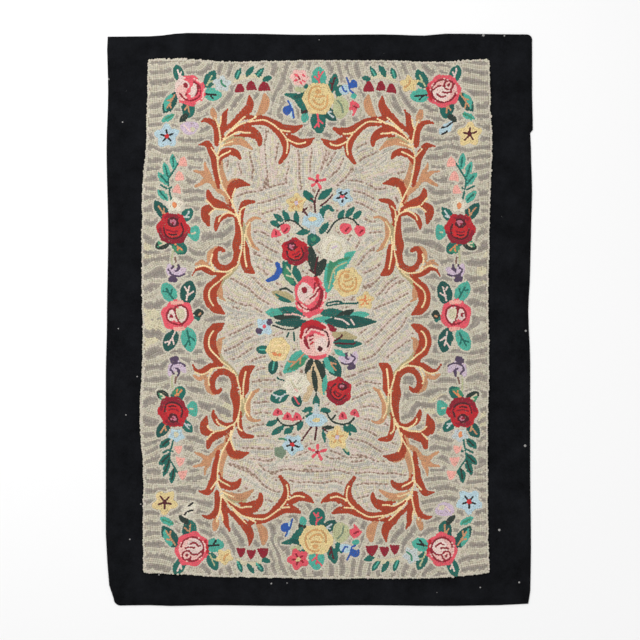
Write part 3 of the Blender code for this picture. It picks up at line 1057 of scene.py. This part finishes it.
def border_height(chart):
    """The border's height: its level lines are the rows, and its stripes are bands of it.

    The height is the distance from the stripe corner, or only the distance down from it further out, less
    radius squared x offset / distance squared round each flower, as water flows round a post. Slow waves and
    folded ones, which are -|wave|, kink it.
    """
    u, v = chart.x - MIDDLE[0], chart.y - MIDDLE[1]
    along = np.abs(v)
    along = np.where(along < WIDE_BELOW, WIDE_BELOW - (WIDE_BELOW - along) * WIDE_STRIPES, along)
    corner_u, corner_v = np.minimum(np.abs(u) - STRIPE_CORNER[0], 0), along - STRIPE_CORNER[1]
    height = np.hypot(corner_u, corner_v)
    way_u, way_v = corner_u / (height + 1), corner_v / (height + 1)
    for (eddy_u, eddy_v), radius in EDDIES:
        off_u, off_v = np.abs(u) - eddy_u, np.abs(v) - eddy_v
        near = off_u**2 + off_v**2 + (radius * EDDY_CORE) ** 2
        height -= (EDDY_PUSH * radius) ** 2 * (way_u * off_u + way_v * off_v) / near
    waves = 8 * slow_noise(u, v, 190, 0.4) + 4 * slow_noise(u, v, 85, 2.2)
    waves = waves - 6 * np.abs(slow_noise(u, v, 130, 1.7))
    return height + waves * (np.hypot(corner_u, corner_v) / CALM).clip(0.2, 1)


def field_ways(chart):
    """The way across the inner field's rows: each patch's way, blended by nearness, with slow waves.

    Ways are blended as doubled angles, because a row runs both ways alike.
    """
    u, v = chart.x - MIDDLE[0], chart.y - MIDDLE[1]
    double_x, double_y = np.zeros_like(u), np.zeros_like(u)
    for place_u, place_v, way in PATCHES:
        share = 1 / ((u - place_u) ** 2 + (v - place_v) ** 2 + PATCH_BLEND) ** 2
        double_x += share * math.cos(math.radians(2 * way))
        double_y += share * math.sin(math.radians(2 * way))
    along = np.arctan2(double_y, double_x) / 2
    return along + 0.28 * slow_noise(u, v, 110, 1.1) + 0.12 * slow_noise(u, v, 50, 3.0) + math.pi / 2


# ---------------------------------------------------------------- working the rows

FINE = 2  # fine cells to a chart cell, for keeping loops apart
TURNS = 24  # the headings that a stamp is cut for, over half a turn
# How near one loop's middle may come to the next, in loops along the row and in rows across it
SPACINGS = {"wide": (0.92, 0.9), "snug": (0.79, 0.77), "tight": (0.71, 0.7)}
PULL = 0.7  # how much of its way back to its level a loop is moved
FILL_ROWS = 9  # rows worked in turn from a motif's edge inward
GAP_LEVEL = ROW / 3  # a gap's loops are this far off their row's level
LOOK_OUT = (0, 6, 12, 18)  # how many fine cells away a neighbour's level is looked for


def oval_stamps(share):
    """For each heading, the fine cells that an oval of these half sizes covers."""
    reach = int(LOOP * FINE / CELL) + 1
    b, a = np.mgrid[-reach:reach + 1, -reach:reach + 1] * CELL / FINE
    stamps = []
    for number in range(TURNS):
        turn = math.pi * number / TURNS
        along, across = a * math.cos(turn) + b * math.sin(turn), b * math.cos(turn) - a * math.sin(turn)
        stamps.append((along / (share[0] * LOOP)) ** 2 + (across / (share[1] * ROW)) ** 2 < 1)
    return reach, stamps


class Hooker:
    """Works loops over the chart. Taken cells keep a new loop from sitting on one that is there."""

    def __init__(self, chart, label):
        self.chart, self.label = chart, label
        shape = (label.shape[0] * FINE, label.shape[1] * FINE)
        self.taken = {name: np.zeros(shape, bool) for name in SPACINGS}
        self.stamps = {name: oval_stamps(share) for name, share in SPACINGS.items()}
        self.loops = []
        self.levels = np.full(shape, np.nan)

    def cell(self, x, y):
        """The row and the column of the chart cell at a place."""
        return int((y - self.chart.low[1]) / CELL), int((x - self.chart.low[0]) / CELL)

    def fine_cell(self, x, y):
        """The row and the column of the fine cell at a place."""
        return int((y - self.chart.low[1]) * FINE / CELL), int((x - self.chart.low[0]) * FINE / CELL)

    def free(self, x, y, spacing):
        """Whether a loop may stand at a place without coming too near another."""
        return not self.taken[spacing][self.fine_cell(x, y)]

    def put(self, x, y, turn, part, level):
        """One loop: its place, its heading, its part and its row's level."""
        self.loops.append((x, y, turn, part, level))
        row, column = self.fine_cell(x, y)
        number = round(turn / math.pi * TURNS) % TURNS
        reach, stamps = self.stamps["wide"]
        self.levels[row - reach:row + reach + 1, column - reach:column + reach + 1][stamps[number]] = level
        for name, (reach, stamps) in self.stamps.items():
            place = self.taken[name][row - reach:row + reach + 1, column - reach:column + reach + 1]
            np.logical_or(place, stamps[number], out=place)

    def explicit(self, part, path):
        """A drawn row: loops at even steps along it, where the chart still shows its part."""
        steps = np.hypot(*np.diff(path, axis=0).T)
        far = np.concatenate([[0], np.cumsum(steps)])
        count = max(1, round(far[-1] / LOOP))
        places = (np.arange(count) + 0.5) * far[-1] / count
        xs, ys = np.interp(places, far, path[:, 0]), np.interp(places, far, path[:, 1])
        ahead = np.minimum(places + 1, far[-1])
        turns = np.arctan2(
            np.interp(ahead, far, path[:, 1]) - np.interp(ahead - 2, far, path[:, 1]),
            np.interp(ahead, far, path[:, 0]) - np.interp(ahead - 2, far, path[:, 0]),
        )
        for x, y, turn in zip(xs, ys, turns):
            if self.label[self.cell(x, y)] == part and self.free(x, y, "snug"):
                self.put(x, y, turn, part, 0)

    def settle(self, x, y, part, spacing, slope, level, heading=None):
        """The place on the level line nearest to (x, y) and the row's heading there, or None if none fits.

        A slope without a height only gives the way across the rows.
        """
        height, way_x, way_y, steep = slope
        cell = self.cell(x, y)
        if height is not None:
            off = (level - height[cell]) / max(steep[cell], 0.5)
            if abs(off) < ROW:
                x, y = x + way_x[cell] * off * PULL, y + way_y[cell] * off * PULL
                cell = self.cell(x, y)
        if self.label[cell] != part or not self.free(x, y, spacing):
            return None
        turn = math.atan2(way_x[cell], -way_y[cell])
        if heading is not None and math.cos(turn - heading) < 0:
            turn += math.pi
        return x, y, turn

    def walk(self, x, y, spacing, slope, level, heading=None):
        """Works one row both ways from a place, along the line where the height stays at the level."""
        part = self.label[self.cell(x, y)]
        start = self.settle(x, y, part, spacing, slope, level, heading)
        if start is None:
            return
        self.put(*start, part, level)
        for side in (1, -1):
            now = start
            while now:
                x, y, turn = now
                step = LOOP * side
                ahead = x + math.cos(turn) * step, y + math.sin(turn) * step
                now = self.settle(*ahead, part, spacing, slope, level, turn)
                if now:
                    self.put(*now, part, level)

    def spread(self, first, slope):
        """Works further rows beside the ones from number first on, a row's width away, until none fits."""
        waiting = collections.deque(range(first, len(self.loops)))
        while waiting:
            x, y, turn, part, level = self.loops[waiting.popleft()]
            for side in (-ROW, ROW):
                px, py = x - math.sin(turn) * side, y + math.cos(turn) * side
                cell = self.cell(px, py)
                if self.label[cell] == part and self.free(px, py, "wide"):
                    before = len(self.loops)
                    self.walk(px, py, "wide", slope, level + side, turn)
                    waiting.extend(range(before, len(self.loops)))

    def centres(self, cells):
        """The middles of the chosen chart cells."""
        rows, columns = np.nonzero(cells)
        low = self.chart.low
        return zip((low[0] + (columns + 0.5) * CELL).tolist(), (low[1] + (rows + 0.5) * CELL).tolist())


def work_ground(hooker, cells, slope):
    """Fills the ground: a row, the rows beside it and so on until it is full, then the gaps."""
    for spacing in SPACINGS:
        off = 0 if spacing == "wide" else GAP_LEVEL
        for x, y in hooker.centres(cells):
            if hooker.free(x, y, spacing):
                first = len(hooker.loops)
                hooker.walk(x, y, spacing, slope, round(nearest_level(hooker, x, y) / ROW) * ROW + off)
                if spacing == "wide":
                    hooker.spread(first, slope)


def nearest_level(hooker, x, y):
    """The level of a loop beside a place, or 0 where none is near."""
    row, column = hooker.fine_cell(x, y)
    for far in LOOK_OUT:
        for down, right in ((0, far), (far, 0), (0, -far), (-far, 0)):
            level = hooker.levels[row + down, column + right]
            if not math.isnan(level):
                return float(level)
    return 0.0


def work_rug(chart):
    """All the loops: drawn rows, motif fillings from their edges inward, cream outlines, then the ground."""
    label = chart.part.copy()
    ground = (label == BORDER) | (label == FIELD)
    reach, way_x, way_y = edge_distances(np.where(ground, BORDER, label))
    halo = ground & (reach < ROW)
    label[halo & (label == BORDER)] = BORDER_HALO
    label[halo & (label == FIELD)] = FIELD_HALO
    hooker = Hooker(chart, label)
    for part, path in chart.rows:
        hooker.explicit(part, path)

    slope = reach, way_x, way_y, np.ones_like(reach)
    lined = label >= BORDER_HALO
    for count in range(FILL_ROWS):
        level = (count + 0.5) * ROW
        for x, y in hooker.centres(lined & (np.abs(reach - level) < 0.5)):
            if hooker.free(x, y, "wide"):
                hooker.walk(x, y, "wide", slope, level)
    for spacing in SPACINGS:
        for x, y in hooker.centres(lined):
            if hooker.free(x, y, spacing):
                hooker.walk(x, y, spacing, slope, reach[hooker.cell(x, y)])

    height = border_height(chart)
    rise_y, rise_x = np.gradient(height, CELL)
    for part, across in ((BORDER, np.arctan2(rise_y, rise_x)), (FIELD, field_ways(chart))):
        hooker.levels[:] = np.nan
        work_ground(hooker, label == part, (None, np.cos(across), np.sin(across), None))
    loops = np.array(hooker.loops)
    rows, columns = chart_cells(chart, loops)
    loops[:, 4] = np.where(loops[:, 3] == BORDER, height[rows, columns], loops[:, 4])
    return loops


def chart_cells(chart, loops):
    """The row and the column of the chart cell under each loop."""
    rows, columns = (loops[:, 1] - chart.low[1]) / CELL, (loops[:, 0] - chart.low[0]) / CELL
    return rows.astype(int), columns.astype(int)


# ---------------------------------------------------------------- colours of the loops


def linear(colours):
    """Numbers from 0 to 255 as linear light."""
    c = np.asarray(colours, float) / 255
    return np.where(c <= 0.04045, c / 12.92, ((c + 0.055) / 1.055) ** 2.4)


def loop_yarns(chart, loops):
    """Each loop's yarn number and kind. The ground's yarn goes by the row's level, in bands."""
    x, y, _, part, level = loops.T
    rows, columns = chart_cells(chart, loops)
    yarn, kind = chart.yarn[rows, columns].copy(), chart.kind[rows, columns].copy()
    part = part.astype(int)
    share = (level + RNG.normal(0, STRIPE_STRAY, len(loops))) / BORDER_BAND % 1
    border, field = part == BORDER, part == FIELD
    for low, high, name in BORDER_STRIPES:
        yarn[border & (share >= low) & (share < high)] = YARN_NUMBER[name]
    warm = (slow_noise(x, y, 320, 2.6) > 0.5) & (np.abs(y) < SPLIT_V)
    yarn[border & (share < LIGHT_SHARE) & warm] = YARN_NUMBER["butter"]
    number_of_row = np.round(level / ROW).astype(int) % len(FIELD_ROWS)
    for number, name in enumerate(FIELD_ROWS):
        yarn[field & (number_of_row == number)] = YARN_NUMBER[name]
    mixed = field & (number_of_row > 0) & (RNG.random(len(loops)) < MIXED)
    yarn[mixed] = RNG.choice([YARN_NUMBER[name] for name in MIXED_YARNS], int(mixed.sum()))
    # each sixth row is dotted, and the loops in the gaps beside it are pale
    every_other = np.arange(len(loops)) % 2 == 0
    dotted = field & (number_of_row == 0)
    yarn[dotted & every_other] = YARN_NUMBER["tan_row"]
    off_row = level / ROW % 1
    yarn[dotted & (off_row > 0.1) & (off_row < 0.9)] = YARN_NUMBER["rosy_pale"]
    yarn[part == BORDER_HALO] = YARN_NUMBER["outline"]
    yarn[part == FIELD_HALO] = YARN_NUMBER["outline"]
    kind[(part == BORDER) | (part == BORDER_HALO)] = KINDS.index("border")
    kind[(part == FIELD) | (part == FIELD_HALO)] = KINDS.index("field")
    return yarn, kind


DYE = 0.93  # how much darker wool is worked than in the skein


def loop_colours(loops, yarn):
    """Linear colours of the loops: the yarn's own, lighter or darker by the row and a little by the loop."""
    palette = linear(list(YARNS.values()))
    row_shade = np.sin(loops[:, 4] * 12.99 + loops[:, 3] * 78.2) * 0.05
    loop_shade = RNG.normal(0, 0.05, len(loops))
    colours = palette[yarn] * DYE * (1 + row_shade + loop_shade)[:, None]
    colours *= 1 + RNG.normal(0, 0.02, (len(loops), 3))
    return colours.clip(0.002, 0.95)


# ---------------------------------------------------------------- meshes

BASE = 4.2  # the loops' feet, sunk in the foundation
CROWN = 8.35  # the loops' tops
RING = 6  # points to a ring of a loop
SHOULDER = (0.84, 0.74)  # a loop's upper ring: its share of the lower ring's size and of the loop's height
HALF_LENGTHS = (0.7, 0.78)  # half a loop's length, from and to, as a share of LOOP: loops press together
HALF_WIDTHS = (0.7, 0.8)  # half its width, as a share of ROW
HEADING_STRAY = 0.12
TOP_STRAY = 0.28
LOWEST_TOP = 0.9  # no top is further than this below CROWN
LOOP_PAINTED_SHADING = (0.7, 0.98, 1.04)  # painted shading: a loop's colour is multiplied by this at its foot (painted shade between the loops), at its shoulder, and at its top (a painted highlight)
LAYOUT_RINGS = (0.46, 0.3)  # radius of the two rings in the loop's own square of the flat layout
RIM_POINTS = 120  # even points round a sheet, besides the node's own
LEAST_ANGLE = 0.002  # two points of a sheet's rim aren't nearer than this, in radians


def add_piece(name, points, faces, material, colours=None, layout=None):
    """A mesh object from whole arrays, in mm, with its yarn colours (on the loops, with painted shade and
    highlight) and a flat layout of its faces.
    """
    mesh = bpy.data.meshes.new(name)
    mesh.vertices.add(len(points))
    mesh.vertices.foreach_set("co", (points * MM).astype(np.float32).ravel())
    flat = np.concatenate([np.asarray(f).ravel() for f in faces])
    counts = np.concatenate([np.full(len(f), np.asarray(f).shape[1]) for f in faces])
    mesh.loops.add(len(flat))
    mesh.loops.foreach_set("vertex_index", flat.astype(np.int32))
    mesh.polygons.add(len(counts))
    mesh.polygons.foreach_set("loop_start", np.concatenate([[0], np.cumsum(counts)[:-1]]).astype(np.int32))
    mesh.polygons.foreach_set("use_smooth", np.ones(len(counts), bool))
    if layout is not None:
        mesh.uv_layers.new(name="OFBake").data.foreach_set("uv", layout[flat].astype(np.float32).ravel())
    if colours is not None:
        shades = np.concatenate([colours, np.ones((len(colours), 1))], 1)
        # the yarn attribute holds the loops' yarn colours together with their painted shade and highlight
        attribute = mesh.color_attributes.new("yarn", "FLOAT_COLOR", "POINT")
        attribute.data.foreach_set("color", shades.astype(np.float32).ravel())
    mesh.update()
    mesh.validate()
    piece = bpy.data.objects.new(name, mesh)
    bpy.context.scene.collection.objects.link(piece)
    mesh.materials.append(material)
    return piece


def loop_piece(name, loops, colours, material):
    """One mesh of many loops: on each, a base ring and a narrower ring of six points, and one point on top.

    A ring's point is (half length x cos t, half width x sin t), turned to the row's heading. The upper ring
    is SHOULDER's share of the lower one, and each loop's size, heading and height stray a little. In the
    flat layout each loop has a square of its own.
    """
    count = len(loops)
    x, y, turn = loops[:, 0], loops[:, 1], loops[:, 2] + RNG.normal(0, HEADING_STRAY, count)
    length, width = LOOP * RNG.uniform(*HALF_LENGTHS, count), ROW * RNG.uniform(*HALF_WIDTHS, count)
    top = CROWN - np.abs(RNG.normal(0, TOP_STRAY, count)).clip(0, LOWEST_TOP)
    t = np.arange(RING) * 2 * math.pi / RING
    points = np.empty((count, 2 * RING + 1, 3))
    for first, share, rise in ((0, 1.0, 0.0), (RING, *SHOULDER)):
        a, b = length[:, None] * np.cos(t) * share, width[:, None] * np.sin(t) * share
        points[:, first:first + RING, 0] = x[:, None] + a * np.cos(turn)[:, None] - b * np.sin(turn)[:, None]
        points[:, first:first + RING, 1] = y[:, None] + a * np.sin(turn)[:, None] + b * np.cos(turn)[:, None]
        points[:, first:first + RING, 2] = (BASE + (top - BASE) * rise)[:, None]
    points[:, -1] = np.stack([x, y, top], 1)
    ring = np.arange(RING)
    after = (ring + 1) % RING
    walls = np.stack([ring, after, after + RING, ring + RING], 1)
    crown = np.stack([ring + RING, after + RING, np.full(RING, 2 * RING)], 1)
    start = np.arange(count)[:, None, None] * (2 * RING + 1)
    faces = [(start + walls).reshape(-1, 4), (start + crown).reshape(-1, 3)]
    # painted shade darkens each loop's foot, between the loops, and a painted highlight lightens its top
    painted_shading = np.repeat(LOOP_PAINTED_SHADING, (RING, RING, 1))
    tints_with_painted_shade = colours[:, None, :] * painted_shading[None, :, None]
    side = math.ceil(math.sqrt(count))
    flat = np.empty((count, 2 * RING + 1, 2))
    for first, share in zip((0, RING), LAYOUT_RINGS):
        flat[:, first:first + RING] = np.stack([np.cos(t), np.sin(t)], 1) * share
    flat[:, -1] = 0
    number = np.arange(count)
    flat += np.stack([number % side, number // side], 1)[:, None, :] + 0.5
    layout = flat.reshape(-1, 2) / side
    return add_piece(name, points.reshape(-1, 3), faces, material, tints_with_painted_shade.reshape(-1, 3), layout)


def rim_sheet(name, rim, inset, bottom, top, rings, material, sag=None):
    """A closed sheet inside a node's outline, with rings of points on its top and on its underside.

    The rings run from the middle to the rim, at even shares of its reach, and the last two are joined round
    the edge. The top's height strays by the sag function of (x, y).
    """
    middle, angles, _ = rim
    turns = np.unique(np.concatenate([angles, np.linspace(-math.pi, math.pi, RIM_POINTS, endpoint=False)]))
    turns = turns[np.concatenate([[True], np.diff(turns) > LEAST_ANGLE])]
    reach = reach_at(rim, turns) - inset
    shares = np.linspace(0, 1, rings + 1)[1:]
    ups, downs = [], []
    for share in shares:
        x, y = middle[0] + np.cos(turns) * reach * share, middle[1] + np.sin(turns) * reach * share
        rise = sag(x, y) if sag else 0 * x
        ups.append(np.stack([x, y, top + rise], 1))
        downs.append(np.stack([x, y, np.full_like(x, bottom)], 1))
    count = len(turns)
    crest = [[middle[0], middle[1], top]]
    foot = [[middle[0], middle[1], bottom]]
    points = np.concatenate([crest] + ups + [foot] + downs)
    ring, after = np.arange(count), (np.arange(count) + 1) % count
    half = 1 + rings * count
    quads, fans = [], [np.stack([np.zeros(count, int), ring + 1, after + 1], 1)]
    fans.append(np.stack([np.full(count, half), half + 1 + after, half + 1 + ring], 1))
    for number in range(rings - 1):
        a, b = 1 + number * count, 1 + (number + 1) * count
        quads.append(np.stack([a + ring, b + ring, b + after, a + after], 1))
        quads.append(np.stack([half + a + ring, half + a + after, half + b + after, half + b + ring], 1))
    last = 1 + (rings - 1) * count
    quads.append(np.stack([last + ring, half + last + ring, half + last + after, last + after], 1))
    return add_piece(name, points, [np.concatenate(quads), np.concatenate(fans)], material)


# ---------------------------------------------------------------- node groups


def new_group(name, inputs, outputs):
    """An empty shader node group with its named inputs (name, kind, value) and outputs (name, kind)."""
    group = bpy.data.node_groups.new(name, "ShaderNodeTree")
    for label, kind, value in inputs:
        socket = group.interface.new_socket(label, in_out="INPUT", socket_type=kind)
        socket.default_value = value
    for label, kind in outputs:
        group.interface.new_socket(label, in_out="OUTPUT", socket_type=kind)
    return group, group.nodes.new("NodeGroupInput"), group.nodes.new("NodeGroupOutput")


def noise_node(tree, vector, scale, detail, roughness):
    """Noise from 0 to 1 at a place."""
    node = tree.nodes.new("ShaderNodeTexNoise")
    node.inputs["Scale"].default_value = scale
    node.inputs["Detail"].default_value = detail
    node.inputs["Roughness"].default_value = roughness
    tree.links.new(vector, node.inputs["Vector"])
    return node.outputs["Fac"]


def spread_node(tree, value, low, high, to_low, to_high):
    """A value from one range brought to another."""
    node = tree.nodes.new("ShaderNodeMapRange")
    for name, number in (("From Min", low), ("From Max", high), ("To Min", to_low), ("To Max", to_high)):
        node.inputs[name].default_value = number
    tree.links.new(value, node.inputs["Value"])
    return node.outputs["Result"]


def math_node(tree, operation, first, second):
    """A sum, a product or the like of two numbers or sockets."""
    node = tree.nodes.new("ShaderNodeMath")
    node.operation = operation
    for socket, value in zip(node.inputs, (first, second)):
        if isinstance(value, (int, float)):
            socket.default_value = value
        else:
            tree.links.new(value, socket)
    return node.outputs["Value"]


def scale_colour(tree, colour, factor):
    """A colour, or a place, times a number."""
    node = tree.nodes.new("ShaderNodeVectorMath")
    node.operation = "SCALE"
    tree.links.new(colour, node.inputs["Vector"])
    tree.links.new(factor, node.inputs["Scale"])
    return node.outputs["Vector"]


def heather_group():
    """Uneven dye in wool: the colour times 1 + depth x 2 x (0.55 coarse noise + 0.45 fine noise - 0.5).

    The roughness is from 0.86 to 1, with the fine noise.
    """
    group, start, end = new_group(
        "heather",
        (("Color", "NodeSocketColor", (0.5, 0.5, 0.5, 1)), ("Vector", "NodeSocketVector", (0, 0, 0)),
         ("Depth", "NodeSocketFloat", 0.2)),
        (("Color", "NodeSocketColor"), ("Roughness", "NodeSocketFloat")),
    )
    coarse = noise_node(group, start.outputs["Vector"], 14, 6, 0.7)
    fine = noise_node(group, start.outputs["Vector"], 420, 2, 0.7)
    coarse_part = math_node(group, "MULTIPLY", coarse, 0.55)
    both = math_node(group, "ADD", coarse_part, math_node(group, "MULTIPLY", fine, 0.45))
    swing = math_node(group, "MULTIPLY", math_node(group, "SUBTRACT", both, 0.5), 2.0)
    factor = math_node(group, "ADD", math_node(group, "MULTIPLY", swing, start.outputs["Depth"]), 1.0)
    group.links.new(scale_colour(group, start.outputs["Color"], factor), end.inputs["Color"])
    group.links.new(spread_node(group, fine, 0.3, 0.7, 0.86, 1.0), end.inputs["Roughness"])
    return group


def fibre_group():
    """Short curled fibres: 0.6 of a fine noise and 0.4 of a finer one, as a height from 0 to 1."""
    group, start, end = new_group(
        "fibres",
        (("Vector", "NodeSocketVector", (0, 0, 0)), ("Scale", "NodeSocketFloat", 1.0)),
        (("Height", "NodeSocketFloat"),),
    )
    scaled = scale_colour(group, start.outputs["Vector"], start.outputs["Scale"])
    curl = noise_node(group, scaled, 700, 2, 0.6)
    fuzz = noise_node(group, scaled, 2300, 2, 0.6)
    curl_part = math_node(group, "MULTIPLY", curl, 0.6)
    mixed = math_node(group, "ADD", curl_part, math_node(group, "MULTIPLY", fuzz, 0.4))
    group.links.new(mixed, end.inputs["Height"])
    return group


HEATHER = heather_group()
FIBRES = fibre_group()


def wool_material(name, colour, depth, sheen, bump, attribute=None, fibre_scale=1.0, shine=0.15):
    """Matt wool. Its colour is the yarn attribute's or one given colour, through the heather group."""
    material = bpy.data.materials.new(name)
    material.use_nodes = True
    tree = material.node_tree
    shader = tree.nodes["Principled BSDF"]
    shader.inputs["Sheen Weight"].default_value = sheen
    shader.inputs["Sheen Roughness"].default_value = 0.6
    shader.inputs["Specular IOR Level"].default_value = shine
    place = tree.nodes.new("ShaderNodeTexCoord").outputs["Object"]
    heather = tree.nodes.new("ShaderNodeGroup")
    heather.node_tree = HEATHER
    heather.inputs["Depth"].default_value = depth
    heather.inputs["Color"].default_value = (*colour, 1)
    tree.links.new(place, heather.inputs["Vector"])
    if attribute:
        yarn = tree.nodes.new("ShaderNodeAttribute")
        yarn.attribute_name = attribute
        tree.links.new(yarn.outputs["Color"], heather.inputs["Color"])
    tree.links.new(heather.outputs["Color"], shader.inputs["Base Color"])
    tree.links.new(heather.outputs["Roughness"], shader.inputs["Roughness"])
    fibres = tree.nodes.new("ShaderNodeGroup")
    fibres.node_tree = FIBRES
    fibres.inputs["Scale"].default_value = fibre_scale
    tree.links.new(place, fibres.inputs["Vector"])
    relief = tree.nodes.new("ShaderNodeBump")
    relief.inputs["Strength"].default_value = bump
    relief.inputs["Distance"].default_value = 0.0006
    tree.links.new(fibres.outputs["Height"], relief.inputs["Height"])
    tree.links.new(relief.outputs["Normal"], shader.inputs["Normal"])
    return material


LINT_SCALE = 9.0  # scattered places to a metre
LINT_SIZE = 0.03  # the largest speck, as a share of their spacing
LINT = (150, 148, 146)  # sRGB numbers, as for the yarns


def scatter_lint(material):
    """A few pale specks of lint: where the nearest of some scattered places is within a millimetre or so."""
    tree = material.node_tree
    shader = tree.nodes["Principled BSDF"]
    places = tree.nodes.new("ShaderNodeTexVoronoi")
    places.voronoi_dimensions = "2D"
    places.inputs["Scale"].default_value = LINT_SCALE
    tree.links.new(tree.nodes.new("ShaderNodeTexCoord").outputs["Object"], places.inputs["Vector"])
    size = spread_node(tree, places.outputs["Color"], 0.4, 0.85, 0, LINT_SIZE)
    speck = math_node(tree, "LESS_THAN", places.outputs["Distance"], size)
    mix = tree.nodes.new("ShaderNodeMix")
    mix.data_type = "RGBA"
    mix.inputs["B"].default_value = (*linear(LINT), 1)
    tree.links.new(speck, mix.inputs["Factor"])
    tree.links.new(shader.inputs["Base Color"].links[0].from_socket, mix.inputs["A"])
    tree.links.new(mix.outputs["Result"], shader.inputs["Base Color"])


# ---------------------------------------------------------------- the rug

SPLIT_V = 300  # above and below this the border's pieces are its head and its foot
FOUNDATION_INSET = 0.4  # how far the foundation cloth stays inside the panel's edge
FOUNDATION_BOTTOM, FOUNDATION_TOP = 2.35, 6.1
FOUNDATION_RINGS = 12
CLOTH_TOP = 1.95
CLOTH_RINGS = 30
CLOTH_SETTLED = -0.15  # the black cloth's mean height, against CLOTH_TOP
CLOTH_WAVES = 0.12  # how far it rises and falls from there
NUB = 2.2  # how far out a loop of the outermost row may be pushed
FOUNDATION = (168, 152, 132)  # sRGB numbers, as for the yarns
FELT = (18, 19, 22)


def cloth_rise(x, y):
    """The black cloth's slow unevenness: a settled height plus waves x slow noise, a fraction of a mm."""
    return CLOTH_SETTLED + CLOTH_WAVES * slow_noise(x, y, 240, 0.9)


def nubby_rim(loops, rim):
    """The loops of the outermost row pushed outward, across their row, by up to NUB mm each."""
    off_x, off_y = loops[:, 0] - rim[0][0], loops[:, 1] - rim[0][1]
    spare = reach_at(rim, np.arctan2(off_y, off_x)) - np.hypot(off_x, off_y)
    across_x, across_y = -np.sin(loops[:, 2]), np.cos(loops[:, 2])
    push = np.sign(across_x * off_x + across_y * off_y) * RNG.uniform(0, NUB, len(loops)) * (spare < ROW)
    loops[:, 0] += across_x * push
    loops[:, 1] += across_y * push
    return loops


def build_rug():
    """All the pieces of the rug, each riding on its one body."""
    chart = Chart(rim_of("hooked_panel"))
    ink_pattern(chart)
    loops = nubby_rim(work_rug(chart), rim_of("hooked_panel"))
    yarn, kind = loop_yarns(chart, loops)
    colours = loop_colours(loops, yarn)
    wool = wool_material("hooked_yarn", (0.5, 0.45, 0.4), 0.2, 0.25, 0.4, "yarn")
    backing = wool_material("foundation", linear(FOUNDATION), 0.3, 0.1, 0.6)
    felt = wool_material("black_felt", linear(FELT), 2.4, 0.01, 0.9, fibre_scale=0.6, shine=0.05)
    scatter_lint(felt)

    x, y = loops[:, 0] - MIDDLE[0], loops[:, 1] - MIDDLE[1]
    border, field = kind == KINDS.index("border"), kind == KINDS.index("field")
    groups = {
        "border_head": border & (y > SPLIT_V),
        "border_foot": border & (y < -SPLIT_V),
        "border_left": border & (np.abs(y) <= SPLIT_V) & (x < 0),
        "border_right": border & (np.abs(y) <= SPLIT_V) & (x >= 0),
        "field_upper": field & (y > 0),
        "field_lower": field & (y <= 0),
        "scrolls": kind == KINDS.index("scrolls"),
        "flowers": kind == KINDS.index("flowers"),
        "leaves": kind == KINDS.index("leaves"),
    }
    for name, chosen in groups.items():
        piece = loop_piece(name + "_loops", loops[chosen], colours[chosen], wool)
        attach(piece, "root")

    cloth = rim_sheet(
        "foundation_cloth", rim_of("hooked_panel"), FOUNDATION_INSET, FOUNDATION_BOTTOM, FOUNDATION_TOP,
        FOUNDATION_RINGS, backing,
    )
    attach(cloth, "root")
    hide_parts("hooked_panel")
    ground = rim_sheet(
        "black_ground_cloth", rim_of("black_cloth"), 0, 0, CLOTH_TOP, CLOTH_RINGS, felt, cloth_rise
    )
    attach(ground, "root")
    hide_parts("black_cloth")


# ---------------------------------------------------------------- camera, floor and light

CAMERA_HEIGHT = 6.0
VIEW_WIDTH = 1.7024  # how much of the floor the picture shows
VIEW_MIDDLE = (0.0033, 0.0)
RUG_TOP = 0.0085
SENSOR = 36
FLOOR_HALF = 12.0


def add_light(name, place, size, power):
    """A round lamp aimed at the middle of the rug."""
    light = bpy.data.lights.new(name, "AREA")
    light.shape = "DISK"
    light.size = size
    light.energy = power
    lamp = bpy.data.objects.new(name, light)
    lamp.location = place
    aim = -lamp.location
    lamp.rotation_euler = aim.to_track_quat("-Z", "Y").to_euler()
    bpy.context.scene.collection.objects.link(lamp)


def studio():
    """A pale floor, a soft light from above and to one side, a pale sky, and the camera straight above."""
    scene = bpy.context.scene
    mesh = bpy.data.meshes.new("floor")
    corners = [(x * FLOOR_HALF, y * FLOOR_HALF, 0) for x, y in ((-1, -1), (1, -1), (1, 1), (-1, 1))]
    mesh.from_pydata(corners, [], [(0, 1, 2, 3)])
    floor = bpy.data.objects.new("floor", mesh)
    scene.collection.objects.link(floor)
    paint = bpy.data.materials.new("floor_paint")
    paint.use_nodes = True
    shader = paint.node_tree.nodes["Principled BSDF"]
    shader.inputs["Base Color"].default_value = (0.93, 0.93, 0.93, 1)
    shader.inputs["Roughness"].default_value = 0.9
    mesh.materials.append(paint)

    world = bpy.data.worlds.new("sky")
    world.use_nodes = True
    world.node_tree.nodes["Background"].inputs["Color"].default_value = (1, 1, 1, 1)
    world.node_tree.nodes["Background"].inputs["Strength"].default_value = 0.7
    scene.world = world
    add_light("key", (-1.9, 1.7, 2.6), 1.6, 55)
    add_light("fill", (2.2, -1.4, 3.2), 2.6, 22)

    view = bpy.data.cameras.new("camera")
    view.sensor_width = SENSOR
    view.lens = SENSOR * (CAMERA_HEIGHT - RUG_TOP) / VIEW_WIDTH
    camera = bpy.data.objects.new("camera", view)
    camera.location = (*VIEW_MIDDLE, CAMERA_HEIGHT)
    scene.collection.objects.link(camera)
    scene.camera = camera
    scene.view_settings.view_transform = "Standard"


build_rug()
studio()
